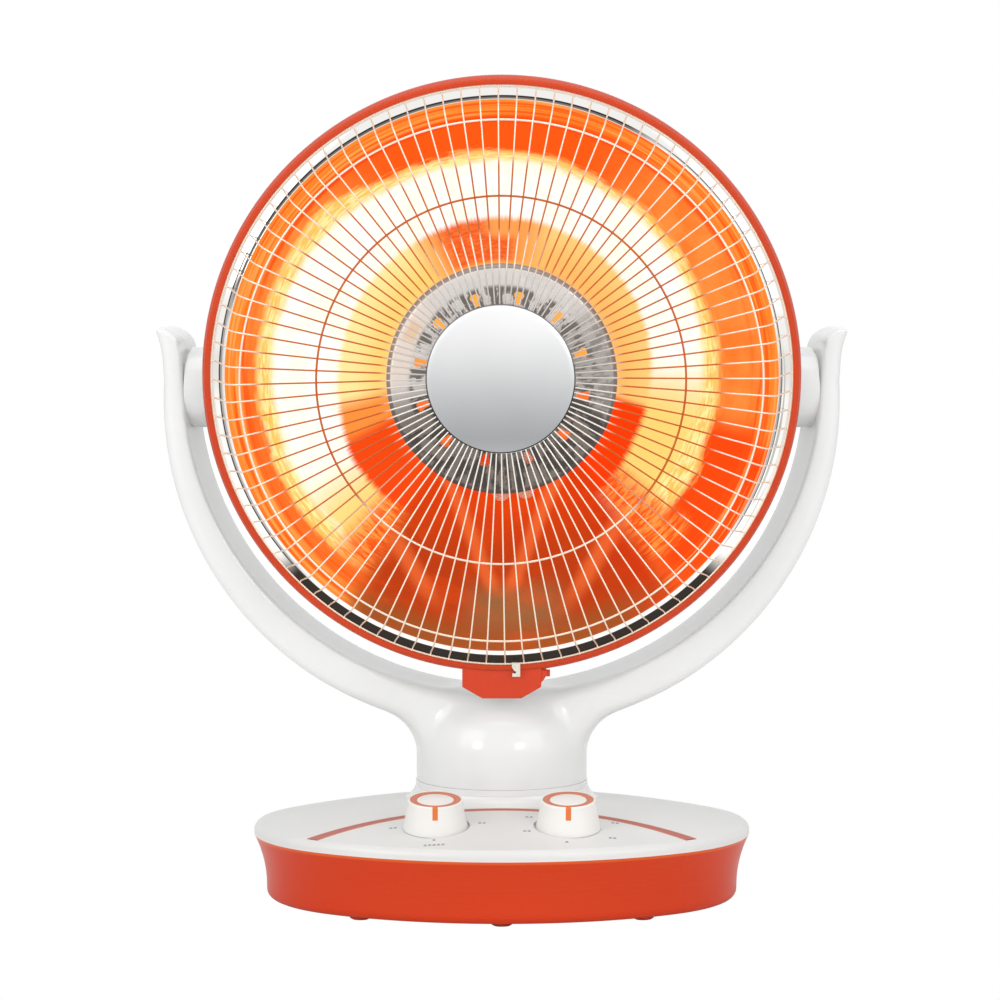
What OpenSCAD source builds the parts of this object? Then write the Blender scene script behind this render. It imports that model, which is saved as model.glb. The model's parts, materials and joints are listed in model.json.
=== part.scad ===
// Parabolic radiant heater: a round dish head in a yoke, on an oval base that swings it from side to side.
// Front is -Y, up is +Z. The origin is the centre of the base on the floor. Millimetres.

/* [Head] */
// Depth position of the widest plane of the hoop
rim_y = -20; // [-24:1:-14]
// Largest radius of the hoop
hoop_r = 170; // [160:1:176]
// Wall of the hoop
hoop_wall = 2.4; // [2:0.1:3]
// How far the front lip stands before the widest plane
hoop_front = 9; // [7:0.5:11]
// How far the hoop reaches behind the widest plane
hoop_back = 12; // [10:0.5:14]
// Width of the front lip measured from the largest radius
hoop_lip = 4.2; // [3.6:0.1:4.8]
// Width of the flat polished flange of the reflector
flange_w = 9; // [7:0.5:10]
// Thickness of the reflector sheet
sheet = 1.2; // [1:0.1:1.6]
// Depth of the reflector from its mouth to its apex
dish_depth = 68; // [56:1:70]
// Radius of the rolled bead at the mouth
bead_r = 1.5; // [1:0.1:2]
// Wall of the rear shell
shell_wall = 2.4; // [2:0.1:3]
// Depth of the rear shell behind the hoop
shell_depth = 62; // [60:1:68]
// Radius of the flat back of the rear shell
shell_flat_r = 64; // [58:1:70]
// Radius of the wiring cap at the back
cap_r = 38; // [34:1:44]
// Height of the wiring cap
cap_h = 12; // [9:1:16]

/* [Grille] */
// Number of radial wires
wires = 96; // [72:4:96]
// Diameter of a radial wire
wire_d = 1.2; // [1:0.1:1.5]
// Diameter of the two cross rings
ring_d = 1.6; // [1.4:0.1:2]
// Diameter of the rim wire
rim_wire_d = 1.8; // [1.6:0.1:2.2]
// Height of the flat of the grille before the widest plane of the hoop
grille_z = 46.3; // [42:0.1:52]
// Radius of the middle cross ring
mid_ring_r = 103.5; // [90:0.5:115]
// Radius of the outer cross ring
outer_ring_r = 147; // [140:0.5:149]
// Bend radius where the wires turn back to the hoop
wire_bend_r = 9; // [7:0.5:11]
// Radius of the polished centre disc
disc_r = 41.8; // [36:0.2:46]
// Thickness of the centre disc
disc_h = 2.2; // [1.8:0.1:3]

/* [Element] */
// Outer radius of the round shield
shield_r = 65.2; // [62:0.2:72]
// Height of the shield before the widest plane of the hoop
shield_z = 28; // [25:0.5:32]
// Thickness of the shield sheet
shield_t = 0.9; // [0.7:0.1:1.2]
// Number of louvre holes in the shield
louvres = 12; // [8:1:14]
// Radius of the circle of louvre holes
louvre_r = 46.8; // [44.5:0.2:52]
// Radius of the ring-shaped quartz tube
tube_ring_r = 56; // [52:0.5:58]
// Diameter of the quartz tube
tube_d = 11; // [9:0.5:12]
// Height of the quartz ring before the widest plane of the hoop
tube_z = 6; // [2:0.5:8]
// Diameter of the heating coil inside the tube
coil_d = 5; // [4:0.5:6]
// Angle between the two ends of the quartz ring
tube_gap_a = 16; // [14:1:24]
// Diameter of the centre post that carries the shield
post_d = 22; // [18:1:26]

/* [Hoop block] */
// Width of the joint block under the hoop
block_w = 45; // [38:1:50]
// Width of the flat bottom of the block
block_flat = 22; // [18:1:28]
// Height of the straight sides of the block below the hoop
block_side = 8; // [7:0.5:9]
// Height of the whole block below the hoop
block_h = 15.6; // [13:0.1:15.8]
// Depth of the block
block_depth = 11; // [9:0.5:12]

/* [Yoke] */
// Height of the saddle between the arms above the floor
saddle_z = 120.5; // [119:0.5:126]
// Distance of the tilt axis below the dish axis
pivot_drop = 11; // [8:0.5:14]
// Depth position of the tilt axis and of the swivel axis
yoke_y = 20; // [16:1:24]
// Gap between the hoop and the inside of the yoke
yoke_gap = 3.5; // [3:0.1:6]
// Width of the yoke at its lowest point
yoke_w = 24.4; // [22:0.2:28]
// Depth of the yoke from front to back
yoke_depth = 48; // [44:1:52]
// Sideways shift of the centre of the side arcs
side_shift = 3.6; // [2.4:0.4:5.2]
// Drop of the centre of the side arcs below the tilt axis
side_drop = 6.75; // [4.5:0.75:9]
// Radius of the outer edges of the yoke
edge_r = 7; // [5:0.5:9]
// Wall of the yoke shells
yoke_wall = 2.4; // [2:0.1:3]
// How far the front edge of the inside is bevelled at the sides
bevel = 8; // [4:0.5:9]
// Radius of the outward flare of the tips
flare_r = 59.75; // [52:0.25:70]
// Radius of the rounded inner shoulder of the tips
shoulder_r = 16.5; // [14:0.5:18]
// Radius of the round bosses on the inside of the yoke
boss_r = 23; // [20:0.5:24]
// How far the bosses stand inside the hoop line
boss_in = 4; // [3:0.5:6]
// Diameter of the pivot pins
pin_d = 8; // [6:0.5:10]
// Radius of the concave corners between neck and arms
corner_r = 30; // [24:1:34]

/* [Neck] */
// Radius of the round neck
neck_r = 49; // [46:0.5:52]
// Height of the swivel seam above the floor
seam_z = 68; // [66:0.5:72]
// Height of the gap at the swivel seam
seam_gap = 0.6; // [0.4:0.1:1]
// Height where the neck starts to round over
neck_straight_z = 86; // [82:1:92]
// Radius of the fixed collar
collar_r = 49.5; // [48:0.5:54]
// Radius of the concave foot of the collar
collar_foot_r = 6; // [4:0.5:7]
// Outer diameter of the hollow swivel shaft
shaft_d = 24; // [20:1:28]
// Bore of the hollow swivel shaft
shaft_bore = 14; // [10:1:16]

/* [Base] */
// Half width of the base
base_a = 142; // [132:1:152]
// Half depth of the base
base_b = 110; // [104:1:118]
// Radius of the round ends of the oval
end_r = 94; // [88:1:100]
// Height of the line between skirt and deck
deck_z = 39.4; // [36:0.2:43]
// Height of the deck's apex
apex_z = 60; // [57:0.5:61]
// Drop of the deck from its apex to its edge
deck_drop = 15; // [12:0.5:17]
// Wall of the base shells
base_wall = 2.6; // [2.2:0.1:3.2]
// How far the foot of the skirt is drawn in
skirt_in = 7.2; // [4:0.2:9]
// Height of the underside above the floor
foot_h = 2.5; // [2:0.1:4]
// Rounding of the lower edge of the skirt
skirt_edge = 5; // [3:0.5:7]
// Rounding of the deck's edge
deck_edge = 4.2; // [3:0.2:5]
// Diameter of the rubber feet
foot_d = 13; // [10:1:16]
// Width of the inlay strip
inlay_w = 5; // [4:0.5:7]
// Radius of the inlay strip
inlay_r = 216; // [205:1:230]
// Depth of the inlay strip in the deck
inlay_t = 0.8; // [0.6:0.1:1]

/* [Knobs] */
// Sideways distance of the knobs from the middle
knob_x = 37.5; // [34:0.5:42]
// Depth position of the knobs
knob_y = -68; // [-72:0.5:-64]
// Radius of a knob at its foot
knob_r = 18.8; // [17:0.2:20]
// Radius of a knob at its top
knob_top_r = 14.8; // [13:0.2:16]
// Height of a knob above the deck
knob_h = 16; // [13:0.5:18]
// Gap between a knob and its round recess
knob_gap = 0.8; // [0.5:0.1:1.2]
// Depth of the round recess
recess_t = 1.2; // [0.8:0.1:1.6]
// Width of the coloured ring on a knob
ring_w = 3.4; // [2.4:0.2:4]
// Width of the coloured pointer
pointer_w = 3; // [2:0.2:4]
// Diameter of the switch shafts
stem_d = 6; // [5:0.5:7]

/* [Drive] */
// Gear module
gear_m = 1.5; // [1.4:0.05:1.6]
// Teeth of the full circle that the swivel sector is part of
sector_teeth = 60; // [56:2:62]
// Teeth of the motor pinion
pinion_teeth = 12; // [11:1:13]
// Half angle that the swivel sector covers
sector_half_a = 56; // [52:1:60]
// Thickness of the gears
gear_t = 6; // [4:0.5:8]
// Diameter of the motor
motor_d = 48; // [44:1:50]
// Height of the motor
motor_h = 15; // [12:1:16]

/* [Fits] */
// Radial clearance of shafts that turn
run_gap = 0.05; // [0.02:0.01:0.09]
// Gap between flat parts that turn against each other
face_gap = 0.3; // [0.2:0.05:0.5]
// Clearance of parts that are screwed together
seat_gap = 0.2; // [0.1:0.05:0.4]
// Play between meshing teeth
backlash = 0.25; // [0.2:0.05:0.4]
// Diameter of the small screws
screw_d = 3; // [2.5:0.1:3.5]
// Diameter of the heads of the small screws
screw_head_d = 5.6; // [5:0.2:6.4]
// Height of the heads of the small screws
screw_head_h = 2; // [1.6:0.1:2.6]

/* [Hidden] */
$fn = 96;
ORANGE = [0.86, 0.31, 0.16];
WHITE = [0.93, 0.93, 0.92];
STEEL = [0.72, 0.73, 0.75];
DARK = [0.16, 0.16, 0.17];
CERAMIC = [0.93, 0.90, 0.83];

// Heights of the tilt axis and of the dish axis, above the saddle
yoke_in_r = hoop_r + yoke_gap;
pivot_z = saddle_z + yoke_in_r;
head_z = pivot_z + pivot_drop;

// Hoop, flange and shell, in the head's own frame: radius from the axis, z forward
hoop_in_r = hoop_r - hoop_wall;
lip_r = hoop_r - hoop_lip;
flange_z = hoop_front - 2;
mouth_r = lip_r - flange_w;
shell_rim_r = hoop_in_r - seat_gap;
rear_lip_r = hoop_r - 7;
shell_r = rear_lip_r - seat_gap;
shell_z = -hoop_back;
rear_lip_z = shell_z + hoop_wall;
shell_flat_a = acos(shell_flat_r / shell_r);
shell_back_z = shell_z - shell_depth * sin(shell_flat_a);
post_hole_r = post_d / 2 + 3;

// Grille
grille_end_r = lip_r - 0.6 - rim_wire_d / 2;
rim_wire_z = flange_z + rim_wire_d / 2;
wire_end_z = rim_wire_z + rim_wire_d / 2;
wire_in_r = disc_r - 6;
steep_a = asin(0.28);
steep_drop = grille_z - wire_bend_r * (1 - sin(steep_a)) - wire_end_z;
bend_x = grille_end_r - wire_bend_r * cos(steep_a) - steep_drop * tan(steep_a);

// Yoke
yoke_low_r = yoke_in_r + yoke_w;
side_r = yoke_low_r - norm([side_shift, side_drop]);
arm_x = side_shift + side_r;
side_z = pivot_z - side_drop;
tip_a = asin(0.6) - 2 * asin(0.28);
flare_x = side_shift + (side_r + flare_r) * cos(tip_a);
flare_z = side_z + (side_r + flare_r) * sin(tip_a);
shoulder_x = arm_x - 1.5;
shoulder_z = pivot_z + 20.5;
bevel_drop = 0.94 * bevel;
bevel_a = atan(bevel / yoke_depth);
bevel_tilt = atan(bevel_drop / yoke_depth);
half_depth = yoke_depth / 2;
boss_face_x = hoop_r - boss_in;
washer_t = 0.8;
hub_face_x = boss_face_x - washer_t - 2 * face_gap;
hub_r = boss_r - 2;
pin_hold = 12;
pin_in_x = hub_face_x - pin_hold;
pin_out_x = boss_face_x + 16;
// Corner circle: just bites into the side of the neck and into the lower arc of the arms
corner_bite = 0.35;
corner_x = neck_r + corner_r - corner_bite;
corner_z = pivot_z - sqrt(pow(yoke_low_r + corner_r - corner_bite, 2) - pow(corner_x, 2));
// Far points on the lines that part the yoke's arcs
split_x = 40 * side_shift;
split_z = pivot_z - 40 * side_drop;

// Neck and swivel
collar_top = seam_z - seam_gap;
plate_z = collar_top + 2;
plate_t = 3.2;
thrust_r = 1.5 * shaft_d;
shaft_low_z = 24;
bearing_low_z = 47;
sector_top_z = 38;
sector_z = sector_top_z - gear_t;

// Base: an oval of four tangent arcs
side_arc_r = (pow(base_a - end_r, 2) + base_b * base_b - end_r * end_r) / (2 * (base_b - end_r));
end_c = base_a - end_r;
side_c = side_arc_r - base_b;
dome_rx = (base_a * base_a + deck_drop * deck_drop) / (2 * deck_drop);
dome_ry = (base_b * base_b + deck_drop * deck_drop) / (2 * deck_drop);
floor_top = foot_h + base_wall;
inlay_y = inlay_r + 38;
inlay_end = 169;
inlay_end_slope = 0.9375;
inlay_shift = 22;

// Knobs stand square to the deck's slope from front to back
knob_tilt = asin(-knob_y / dome_ry);
knob_z = dome_height(knob_x, knob_y);
switch_h = 15;
switch_w = 26;
stem_low = 8;

// Gear train
pitch_sector = gear_m * sector_teeth / 2;
pitch_pinion = gear_m * pinion_teeth / 2;
motor_y = yoke_y + pitch_sector + pitch_pinion;
motor_top = sector_z - 3;
motor_shaft_d = 5;

bearing_r = shaft_d / 2 + 5;
neck_top_r = 22;
boss_seat_x = arm_x - 7.8;
boss_stem_r = boss_r - 3;
plate_screws_at = [[32, 22], [32, -22], [-32, 22], [-32, -22]];

// Small parts in the base
weight_w = 124;
weight_depth = 50;
weight_h = 8;
weight_y = -58;
pillar_d = 10;
screw_seat_z = floor_top + 7;
bushing_d = 9;
bushing_h = 1.4;
nut_r = 7;
nut_h = 2;
gland_z = 17;
gland_a = 16;
gland_d = 12;
gland_bore = 7;
tip_x = -60;
tip_y = 20;
tip_d = 9;
tip_travel = 4;
tip_guide_top = floor_top + 12;
tip_flange_z = tip_guide_top + tip_travel + 0.3;
tip_spring_top = tip_flange_z + 9;
tip_switch_top = tip_spring_top + 8;

// Knob details
knob_low = -recess_t + 0.3;
pointer_h = 9.5;
stem_high = 10;

// Element details
gap_mid_a = -84.3;
socket_d = 9;
socket_angles = [gap_mid_a - 8, gap_mid_a + 8];
tip_reach = 10.4;
stub_d = tube_d - 0.6;
louvre_a = 18.3;
post_flange_r = post_hole_r + 8;
post_access_r = 26;
post_screw_l = 12;
bracket_h = 10;
vent_gap = 8;
vent_l = 12;
vent_w = 4;
pad_x = hoop_r - 36;
hub_screw_reach = 20;
hub_screw_at = 13;
tab_x = 8.3;
lug_w = 3;
lug_drop = 0.7;
clamp_screw_d = 4;

// Where the screws go: base screws and the joining screws of the yoke
base_screws_at = [[-95, -38], [95, -38], [-95, 44], [95, 44]];
yoke_screw_angles = [-26, -50];
yoke_screw_r = yoke_in_r + 12;
feet_at = [[-80, -66], [0, -88], [80, -66], [-88, 58], [88, 58]];

function dome_height(x, y) =
    apex_z - (dome_rx - sqrt(dome_rx * dome_rx - x * x)) - (dome_ry - sqrt(dome_ry * dome_ry - y * y));

// ---------- shared helpers ----------

module head_frame() {
    translate([0, rim_y, head_z]) rotate([90, 0, 0]) children();
}

module at_swivel() {
    translate([0, yoke_y, 0]) children();
}

module both_sides() {
    for (side = [0, 1]) mirror([side, 0, 0]) children();
}

// A revolve about an axis along Y through [x, z], its seam on the side of -X if back is 180
module turned_about_y(x, z, back) {
    translate([x, yoke_y, z]) rotate([90, 0, 0]) rotate([0, 0, back]) rotate_extrude($fn = 180) children();
}

// A slab square to Y with its outline in [x, z]
module slab(points) {
    translate([0, yoke_y + 60, 0]) rotate([90, 0, 0]) linear_extrude(120) polygon(points);
}

// A small pan-head screw, head at the origin, shank along -Z
module pan_screw(length) {
    cylinder(d1 = screw_head_d, d2 = screw_head_d - 1, h = screw_head_h, $fn = 32);
    translate([0, 0, -length]) cylinder(d = screw_d, h = length, $fn = 24);
}

// ---------- base ----------

// One solid of the oval, grown from a profile of [inset, height] points along its edge
module oval_solid(profile) {
    low = profile[0][1];
    high = profile[len(profile) - 1][1];
    for (side = [-1, 1]) {
        intersection() {
            translate([side * end_c, 0, 0]) rotate_extrude() oval_profile(end_r, profile, low, high);
            translate([0, 0, low - 1]) linear_extrude(high - low + 2)
                polygon([[side * end_c, 0], [side * 4 * end_c, -3 * side_c], [side * 4 * end_c, 3 * side_c]]);
        }
        intersection() {
            translate([0, -side * side_c, 0]) rotate_extrude() oval_profile(side_arc_r, profile, low, high);
            translate([0, 0, low - 1]) linear_extrude(high - low + 2)
                polygon([[0, -side * side_c], [-4 * end_c, 3 * side * side_c], [4 * end_c, 3 * side * side_c]]);
        }
    }
}

module oval_profile(r, profile, low, high) {
    polygon(concat([[0, low]], [for (p = profile) [r - p[0], p[1]]], [[0, high]]));
}

// The skirt's outline: rounded lower edge, then a concave flare up to the deck line
function skirt_profile(inset, low, high) = concat(
    [for (a = [0:15:75]) [
        inset + skirt_in + skirt_edge * (1 - sin(a)),
        max(low, foot_h + skirt_edge * (1 - cos(a)))
    ]],
    [for (i = [0:10]) [
        inset + skirt_in * (1 - pow(i / 10, 2.2)),
        foot_h + skirt_edge + (high - foot_h - skirt_edge) * i / 10
    ]]
);

// The deck's outline: a short upright, a rounded edge, then a rise that the dome cuts off
function deck_profile(inset, low) = concat(
    [[inset, low], [inset, deck_z + 2.2]],
    [for (a = [15:15:60]) [
        inset + deck_edge * (1 - cos(a)),
        deck_z + 2.2 + deck_edge * sin(a)
    ]],
    [[inset + 30, apex_z + 8]]
);

// The crown of the deck: a segment of a large ring, curved both ways, lowered by drop
module dome_body(drop) {
    translate([0, 0, apex_z - drop - dome_rx]) rotate([90, 0, 0]) rotate([0, 0, 76])
        rotate_extrude(angle = 28, $fn = 256)
            intersection() {
                translate([dome_rx - dome_ry, 0]) circle(r = dome_ry, $fn = 256);
                translate([dome_rx - 45, -base_b - 8]) square([90, 2 * base_b + 16]);
            }
}

module base_housing() {
    color(ORANGE) difference() {
        oval_solid(skirt_profile(0, foot_h, deck_z));
        difference() {
            oval_solid(skirt_profile(base_wall, floor_top, deck_z + 1));
            for (p = base_screws_at) translate([p[0], p[1], 0]) cylinder(d = pillar_d, h = deck_z - 2);
            translate([0, motor_y, 0]) cylinder(d = motor_d - 8, h = motor_top - motor_h);
            translate([tip_x, tip_y, 0]) cylinder(d = tip_d + 6, h = tip_guide_top);
        }
        for (p = base_screws_at) translate([p[0], p[1], -1]) {
            cylinder(d = screw_d + 2 * seat_gap, h = deck_z + 5);
            cylinder(d = screw_head_d + 2 * seat_gap, h = screw_seat_z + 1);
        }
        for (p = feet_at) translate([p[0], p[1], -1]) cylinder(d = foot_d, h = 2 + foot_h);
        translate([tip_x, tip_y, -1]) cylinder(d = tip_d + 2 * run_gap, h = 60);
        gland_frame() {
            cylinder(d = gland_d, h = 30, center = true);
            translate([0, 0, -30]) cylinder(d = gland_d + 5 + 2 * seat_gap, h = 30 - 0.6);
        }
    }
}

module base_deck() {
    color(WHITE) difference() {
        union() {
            difference() {
                intersection() {
                    oval_solid(deck_profile(0, deck_z));
                    dome_body(0);
                }
                intersection() {
                    oval_solid([[base_wall, deck_z - 1], [base_wall, deck_z + 2],
                        [base_wall + 20, apex_z + 6]]);
                    dome_body(base_wall);
                }
            }
            for (p = base_screws_at) translate([p[0], p[1], deck_z - 2])
                cylinder(d = pillar_d, h = dome_height(p[0], p[1]) - deck_z + 2 - base_wall / 2);
        }
        for (p = base_screws_at) translate([p[0], p[1], deck_z - 3])
            cylinder(d = screw_d - 2 * run_gap, h = 8);
        at_swivel() cylinder(r = collar_r - 8, h = 100);
        both_sides() knob_frame() {
            translate([0, 0, -recess_t]) cylinder(r = knob_r + knob_gap, h = 20);
            translate([0, 0, -20]) cylinder(d = bushing_d + 2 * seat_gap, h = 30);
        }
        inlay_solid(0);
    }
}

module knob_frame() {
    translate([knob_x, knob_y, knob_z]) rotate([knob_tilt, 0, 0]) children();
}

// The strip that divides the deck: an arc band that widens to its ends, which are cut at a slant
module inlay_solid(shrink) {
    intersection() {
        translate([0, -inlay_y, 0]) difference() {
            cylinder(r = inlay_r + inlay_w / 2 - shrink, h = 80, $fn = 200);
            translate([0, inlay_shift, -1])
                cylinder(r = inlay_r - inlay_w / 2 - inlay_shift + shrink, h = 90, $fn = 200);
        }
        translate([0, -inlay_end + 1.4 * shrink, 0]) linear_extrude(80)
            polygon([for (side = [0, 1, -1]) 2 * base_a * [side, abs(side) * inlay_end_slope]]);
        difference() {
            dome_body(0);
            dome_body(inlay_t);
        }
    }
}

module deck_inlay() {
    color([0.80, 0.47, 0.40]) inlay_solid(0.05);
}

module swivel_collar() {
    color(WHITE) difference() {
        at_swivel() rotate_extrude() polygon(concat(
            [[shaft_d / 2 + run_gap, bearing_low_z], [shaft_d / 2 + run_gap, collar_top]],
            [[collar_r - 1.4, collar_top], [collar_r, collar_top - 1]],
            [for (a = [0:15:90]) [
                collar_r + collar_foot_r * (1 - cos(a)),
                apex_z + collar_foot_r * (1 - sin(a)) - 0.4
            ]],
            [[collar_r + collar_foot_r, apex_z - 6], [collar_r - 9, apex_z - 6]],
            [[collar_r - 9, collar_top - 3.4], [bearing_r, collar_top - 3.4], [bearing_r, bearing_low_z]]
        ));
        difference() {
            dome_body(0);
            at_swivel() cylinder(r = collar_r - 8.2, h = 100);
        }
    }
}

module counterweight() {
    color(DARK) translate([-weight_w / 2, weight_y, floor_top]) cube([weight_w, weight_depth, weight_h]);
}

module rubber_feet() {
    color([0.78, 0.25, 0.13]) for (p = feet_at) translate([p[0], p[1], 0])
        rotate_extrude() polygon([[0, 0], [foot_d / 2 - 2, 0], [foot_d / 2 - 0.6, 0.8],
            [foot_d / 2 - 0.1, 2], [foot_d / 2 - 0.1, foot_h + 1], [0, foot_h + 1]]);
}

module base_screws() {
    color(STEEL) for (p = base_screws_at) translate([p[0], p[1], screw_seat_z]) {
        translate([0, 0, -screw_head_h]) cylinder(d = screw_head_d, h = screw_head_h, $fn = 32);
        cylinder(d = screw_d - 2 * run_gap, h = deck_z + 4 - screw_seat_z, $fn = 24);
    }
}

// Square to the skirt at the back, beside the motor, z pointing inwards from the skirt's outside
module gland_frame() {
    translate([0, -side_c, gland_z]) rotate([0, 0, gland_a]) translate([0, side_arc_r - skirt_in, 0])
        rotate([90, 0, 0]) children();
}

module cord_gland() {
    color(DARK) gland_frame() difference() {
        union() {
            translate([0, 0, -2.2]) cylinder(d = gland_d + 5, h = 1.6);
            translate([0, 0, -2.2]) cylinder(d = gland_d - 2 * run_gap, h = 10);
        }
        translate([0, 0, -5]) cylinder(d = gland_bore, h = 20);
    }
}

module terminal_block() {
    color(WHITE) translate([34, 48, floor_top]) difference() {
        cube([32, 14, 11]);
        for (i = [0:2]) translate([6 + 10 * i, 7, 4]) cylinder(d = 5, h = 20, $fn = 32);
    }
}

module rotary_switch() {
    difference() {
        union() {
            translate([-switch_w / 2, -switch_w / 2, -base_wall - 2.2 - switch_h])
                cube([switch_w, switch_w, switch_h]);
            translate([0, 0, -base_wall - 2.5]) cylinder(d = bushing_d + 6, h = 2);
            translate([0, 0, -base_wall - 2.5]) cylinder(d = bushing_d, h = base_wall + 2.5 + bushing_h);
        }
        translate([0, 0, -stem_low - 1]) cylinder(d = stem_d + 2 * run_gap, h = 30);
    }
}

module power_switch() {
    color(DARK) knob_frame() rotary_switch();
}

module mode_switch() {
    color(DARK) mirror([1, 0, 0]) knob_frame() rotary_switch();
}

module switch_nuts() {
    color(STEEL) both_sides() knob_frame() translate([0, 0, -recess_t]) difference() {
        cylinder(r = nut_r, h = nut_h, $fn = 6);
        translate([0, 0, -1]) cylinder(d = bushing_d, h = 10);
    }
}

module swing_motor() {
    color(STEEL) translate([0, motor_y, motor_top - motor_h]) {
        difference() {
            union() {
                cylinder(d = motor_d, h = motor_h);
                translate([-motor_d / 2 - 6, -5, 0]) cube([motor_d + 12, 10, 1.6]);
            }
            for (side = [-1, 1]) translate([side * (motor_d / 2 + 3), 0, -1])
                cylinder(d = screw_d, h = 8, $fn = 24);
            translate([0, 0, 4]) cylinder(d = motor_shaft_d + 2 * run_gap, h = 20);
        }
    }
}

// Two stand-offs with screws that carry the motor's ears
module motor_screws() {
    color(STEEL) for (side = [-1, 1]) translate([side * (motor_d / 2 + 3), motor_y, 0]) {
        translate([0, 0, floor_top]) cylinder(d = 5.5, h = motor_top - motor_h - floor_top);
        translate([0, 0, motor_top - motor_h]) cylinder(d = screw_d, h = 1.6, $fn = 24);
        translate([0, 0, motor_top - motor_h + 1.6]) cylinder(d = screw_head_d, h = screw_head_h, $fn = 32);
    }
}

module tip_switch() {
    color(DARK) translate([tip_x, tip_y, 0]) difference() {
        translate([-13, -7, floor_top]) cube([26, 14, tip_switch_top - floor_top]);
        translate([-9, -8, 0]) cube([18, 16, tip_spring_top]);
    }
}

module tip_plunger() {
    color(DARK) translate([tip_x, tip_y, 0]) {
        cylinder(d = tip_d, h = tip_flange_z);
        translate([0, 0, tip_flange_z]) cylinder(d = tip_d + 4, h = 2);
    }
}

module plunger_spring() {
    color(STEEL) translate([tip_x, tip_y, tip_flange_z + 2]) difference() {
        cylinder(d = 8, h = tip_spring_top - tip_flange_z - 2);
        translate([0, 0, -1]) cylinder(d = 6, h = 40);
    }
}

// ---------- knobs ----------

// A knob's outer form, g smaller all round: wide foot, slim top
module knob_form(g) {
    rotate_extrude() polygon(concat(
        [[0, knob_low]],
        [for (i = [0:8]) [
            knob_top_r + (knob_r - knob_top_r) * pow(1 - i / 8, 1.7) - g,
            knob_low + (knob_h - knob_low - 0.6) * i / 8
        ]],
        [[knob_top_r - 0.6 - g, knob_h], [0, knob_h]]
    ));
}

// Where the coloured insert sits: a ring round the top and a bar down the front
module insert_zone() {
    difference() {
        translate([0, 0, knob_h - 1]) cylinder(r = knob_top_r + 5, h = 5);
        translate([0, 0, knob_h - 2]) cylinder(r = knob_top_r - ring_w, h = 10);
    }
    difference() {
        translate([-pointer_w / 2, -knob_r - 5, knob_h - pointer_h])
            cube([pointer_w, knob_r + 5, pointer_h - 0.5]);
        knob_form(0.9);
    }
}

module knob() {
    difference() {
        knob_form(0);
        insert_zone();
        translate([0, 0, knob_low - 1]) cylinder(r = nut_r + 2.4, h = nut_h + bushing_h + 2.5);
        cylinder(d = stem_d, h = stem_high);
    }
}

module knob_insert() {
    intersection() {
        knob_form(0);
        insert_zone();
    }
}

module stem() {
    translate([0, 0, -stem_low]) cylinder(d = stem_d, h = stem_low + stem_high);
}

module knob_right() {
    color(WHITE) knob_frame() knob();
}

module knob_right_insert() {
    color(ORANGE) knob_frame() knob_insert();
}

module stem_right() {
    color(STEEL) knob_frame() stem();
}

module knob_left() {
    color(WHITE) mirror([1, 0, 0]) knob_frame() knob();
}

module knob_left_insert() {
    color(ORANGE) mirror([1, 0, 0]) knob_frame() knob_insert();
}

module stem_left() {
    color(STEEL) mirror([1, 0, 0]) knob_frame() stem();
}

// ---------- gear train ----------

function involute_a(a) = tan(a) * 180 / PI - a;

// Half the angle that a tooth covers at radius r
function half_tooth_a(r, teeth) =
    90 / teeth - backlash / (gear_m * teeth) * 90 / PI
    + involute_a(20) - involute_a(acos(min(1, gear_m * teeth / 2 * cos(20) / r)));

module tooth(teeth) {
    pitch = gear_m * teeth / 2;
    low = pitch - 1.15 * gear_m;
    high = pitch + 0.85 * gear_m;
    foot = max(low, pitch * cos(20)) - 0.4 * gear_m;
    radii = [for (i = [0:4]) foot + (high - foot) * i / 4];
    polygon(concat(
        [[low - 1, -(low - 1) * tan(half_tooth_a(foot, teeth))]],
        [for (r = radii) [r * cos(half_tooth_a(r, teeth)), -r * sin(half_tooth_a(r, teeth))]],
        [for (i = [4:-1:0]) [radii[i] * cos(half_tooth_a(radii[i], teeth)),
            radii[i] * sin(half_tooth_a(radii[i], teeth))]],
        [[low - 1, (low - 1) * tan(half_tooth_a(foot, teeth))]]
    ));
}

module drive_pinion() {
    color(WHITE) translate([0, motor_y, 0]) {
        translate([0, 0, sector_z]) linear_extrude(gear_t) rotate([0, 0, -90]) {
            circle(r = pitch_pinion - 1.15 * gear_m);
            for (i = [0:pinion_teeth - 1]) rotate([0, 0, 360 * i / pinion_teeth]) tooth(pinion_teeth);
        }
        translate([0, 0, motor_top - motor_h + 4.5])
            cylinder(d = motor_shaft_d, h = sector_z - motor_top + motor_h - 4.5);
    }
}

module sector_gear() {
    step = 360 / sector_teeth;
    half = floor(sector_half_a / step);
    color([0.85, 0.80, 0.62]) at_swivel() difference() {
        union() {
            translate([0, 0, sector_z]) linear_extrude(gear_t) rotate([0, 0, 90]) {
                intersection() {
                    circle(r = pitch_sector - 1.15 * gear_m);
                    polygon([[0, 0],
                        for (i = [-2:2]) 80 * [cos(i * sector_half_a / 2), sin(i * sector_half_a / 2)]]);
                }
                for (i = [-half:half - 1]) rotate([0, 0, (i + 0.5) * step]) tooth(sector_teeth);
            }
            translate([0, 0, sector_z]) cylinder(r = bearing_r, h = bearing_low_z - face_gap - sector_z);
        }
        cylinder(d = shaft_d, h = 100);
    }
}

module swivel_plate() {
    color(STEEL) at_swivel() difference() {
        union() {
            translate([0, 0, plate_z]) cylinder(r = neck_r - yoke_wall - seat_gap, h = plate_t);
            translate([0, 0, shaft_low_z]) cylinder(d = shaft_d, h = plate_z + 1 - shaft_low_z);
        }
        translate([0, 0, shaft_low_z - 1]) cylinder(d = shaft_bore, h = 100);
        for (p = plate_screws_at) translate([p[0], p[1], 0]) cylinder(d = screw_d, h = 100, $fn = 24);
    }
}

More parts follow.
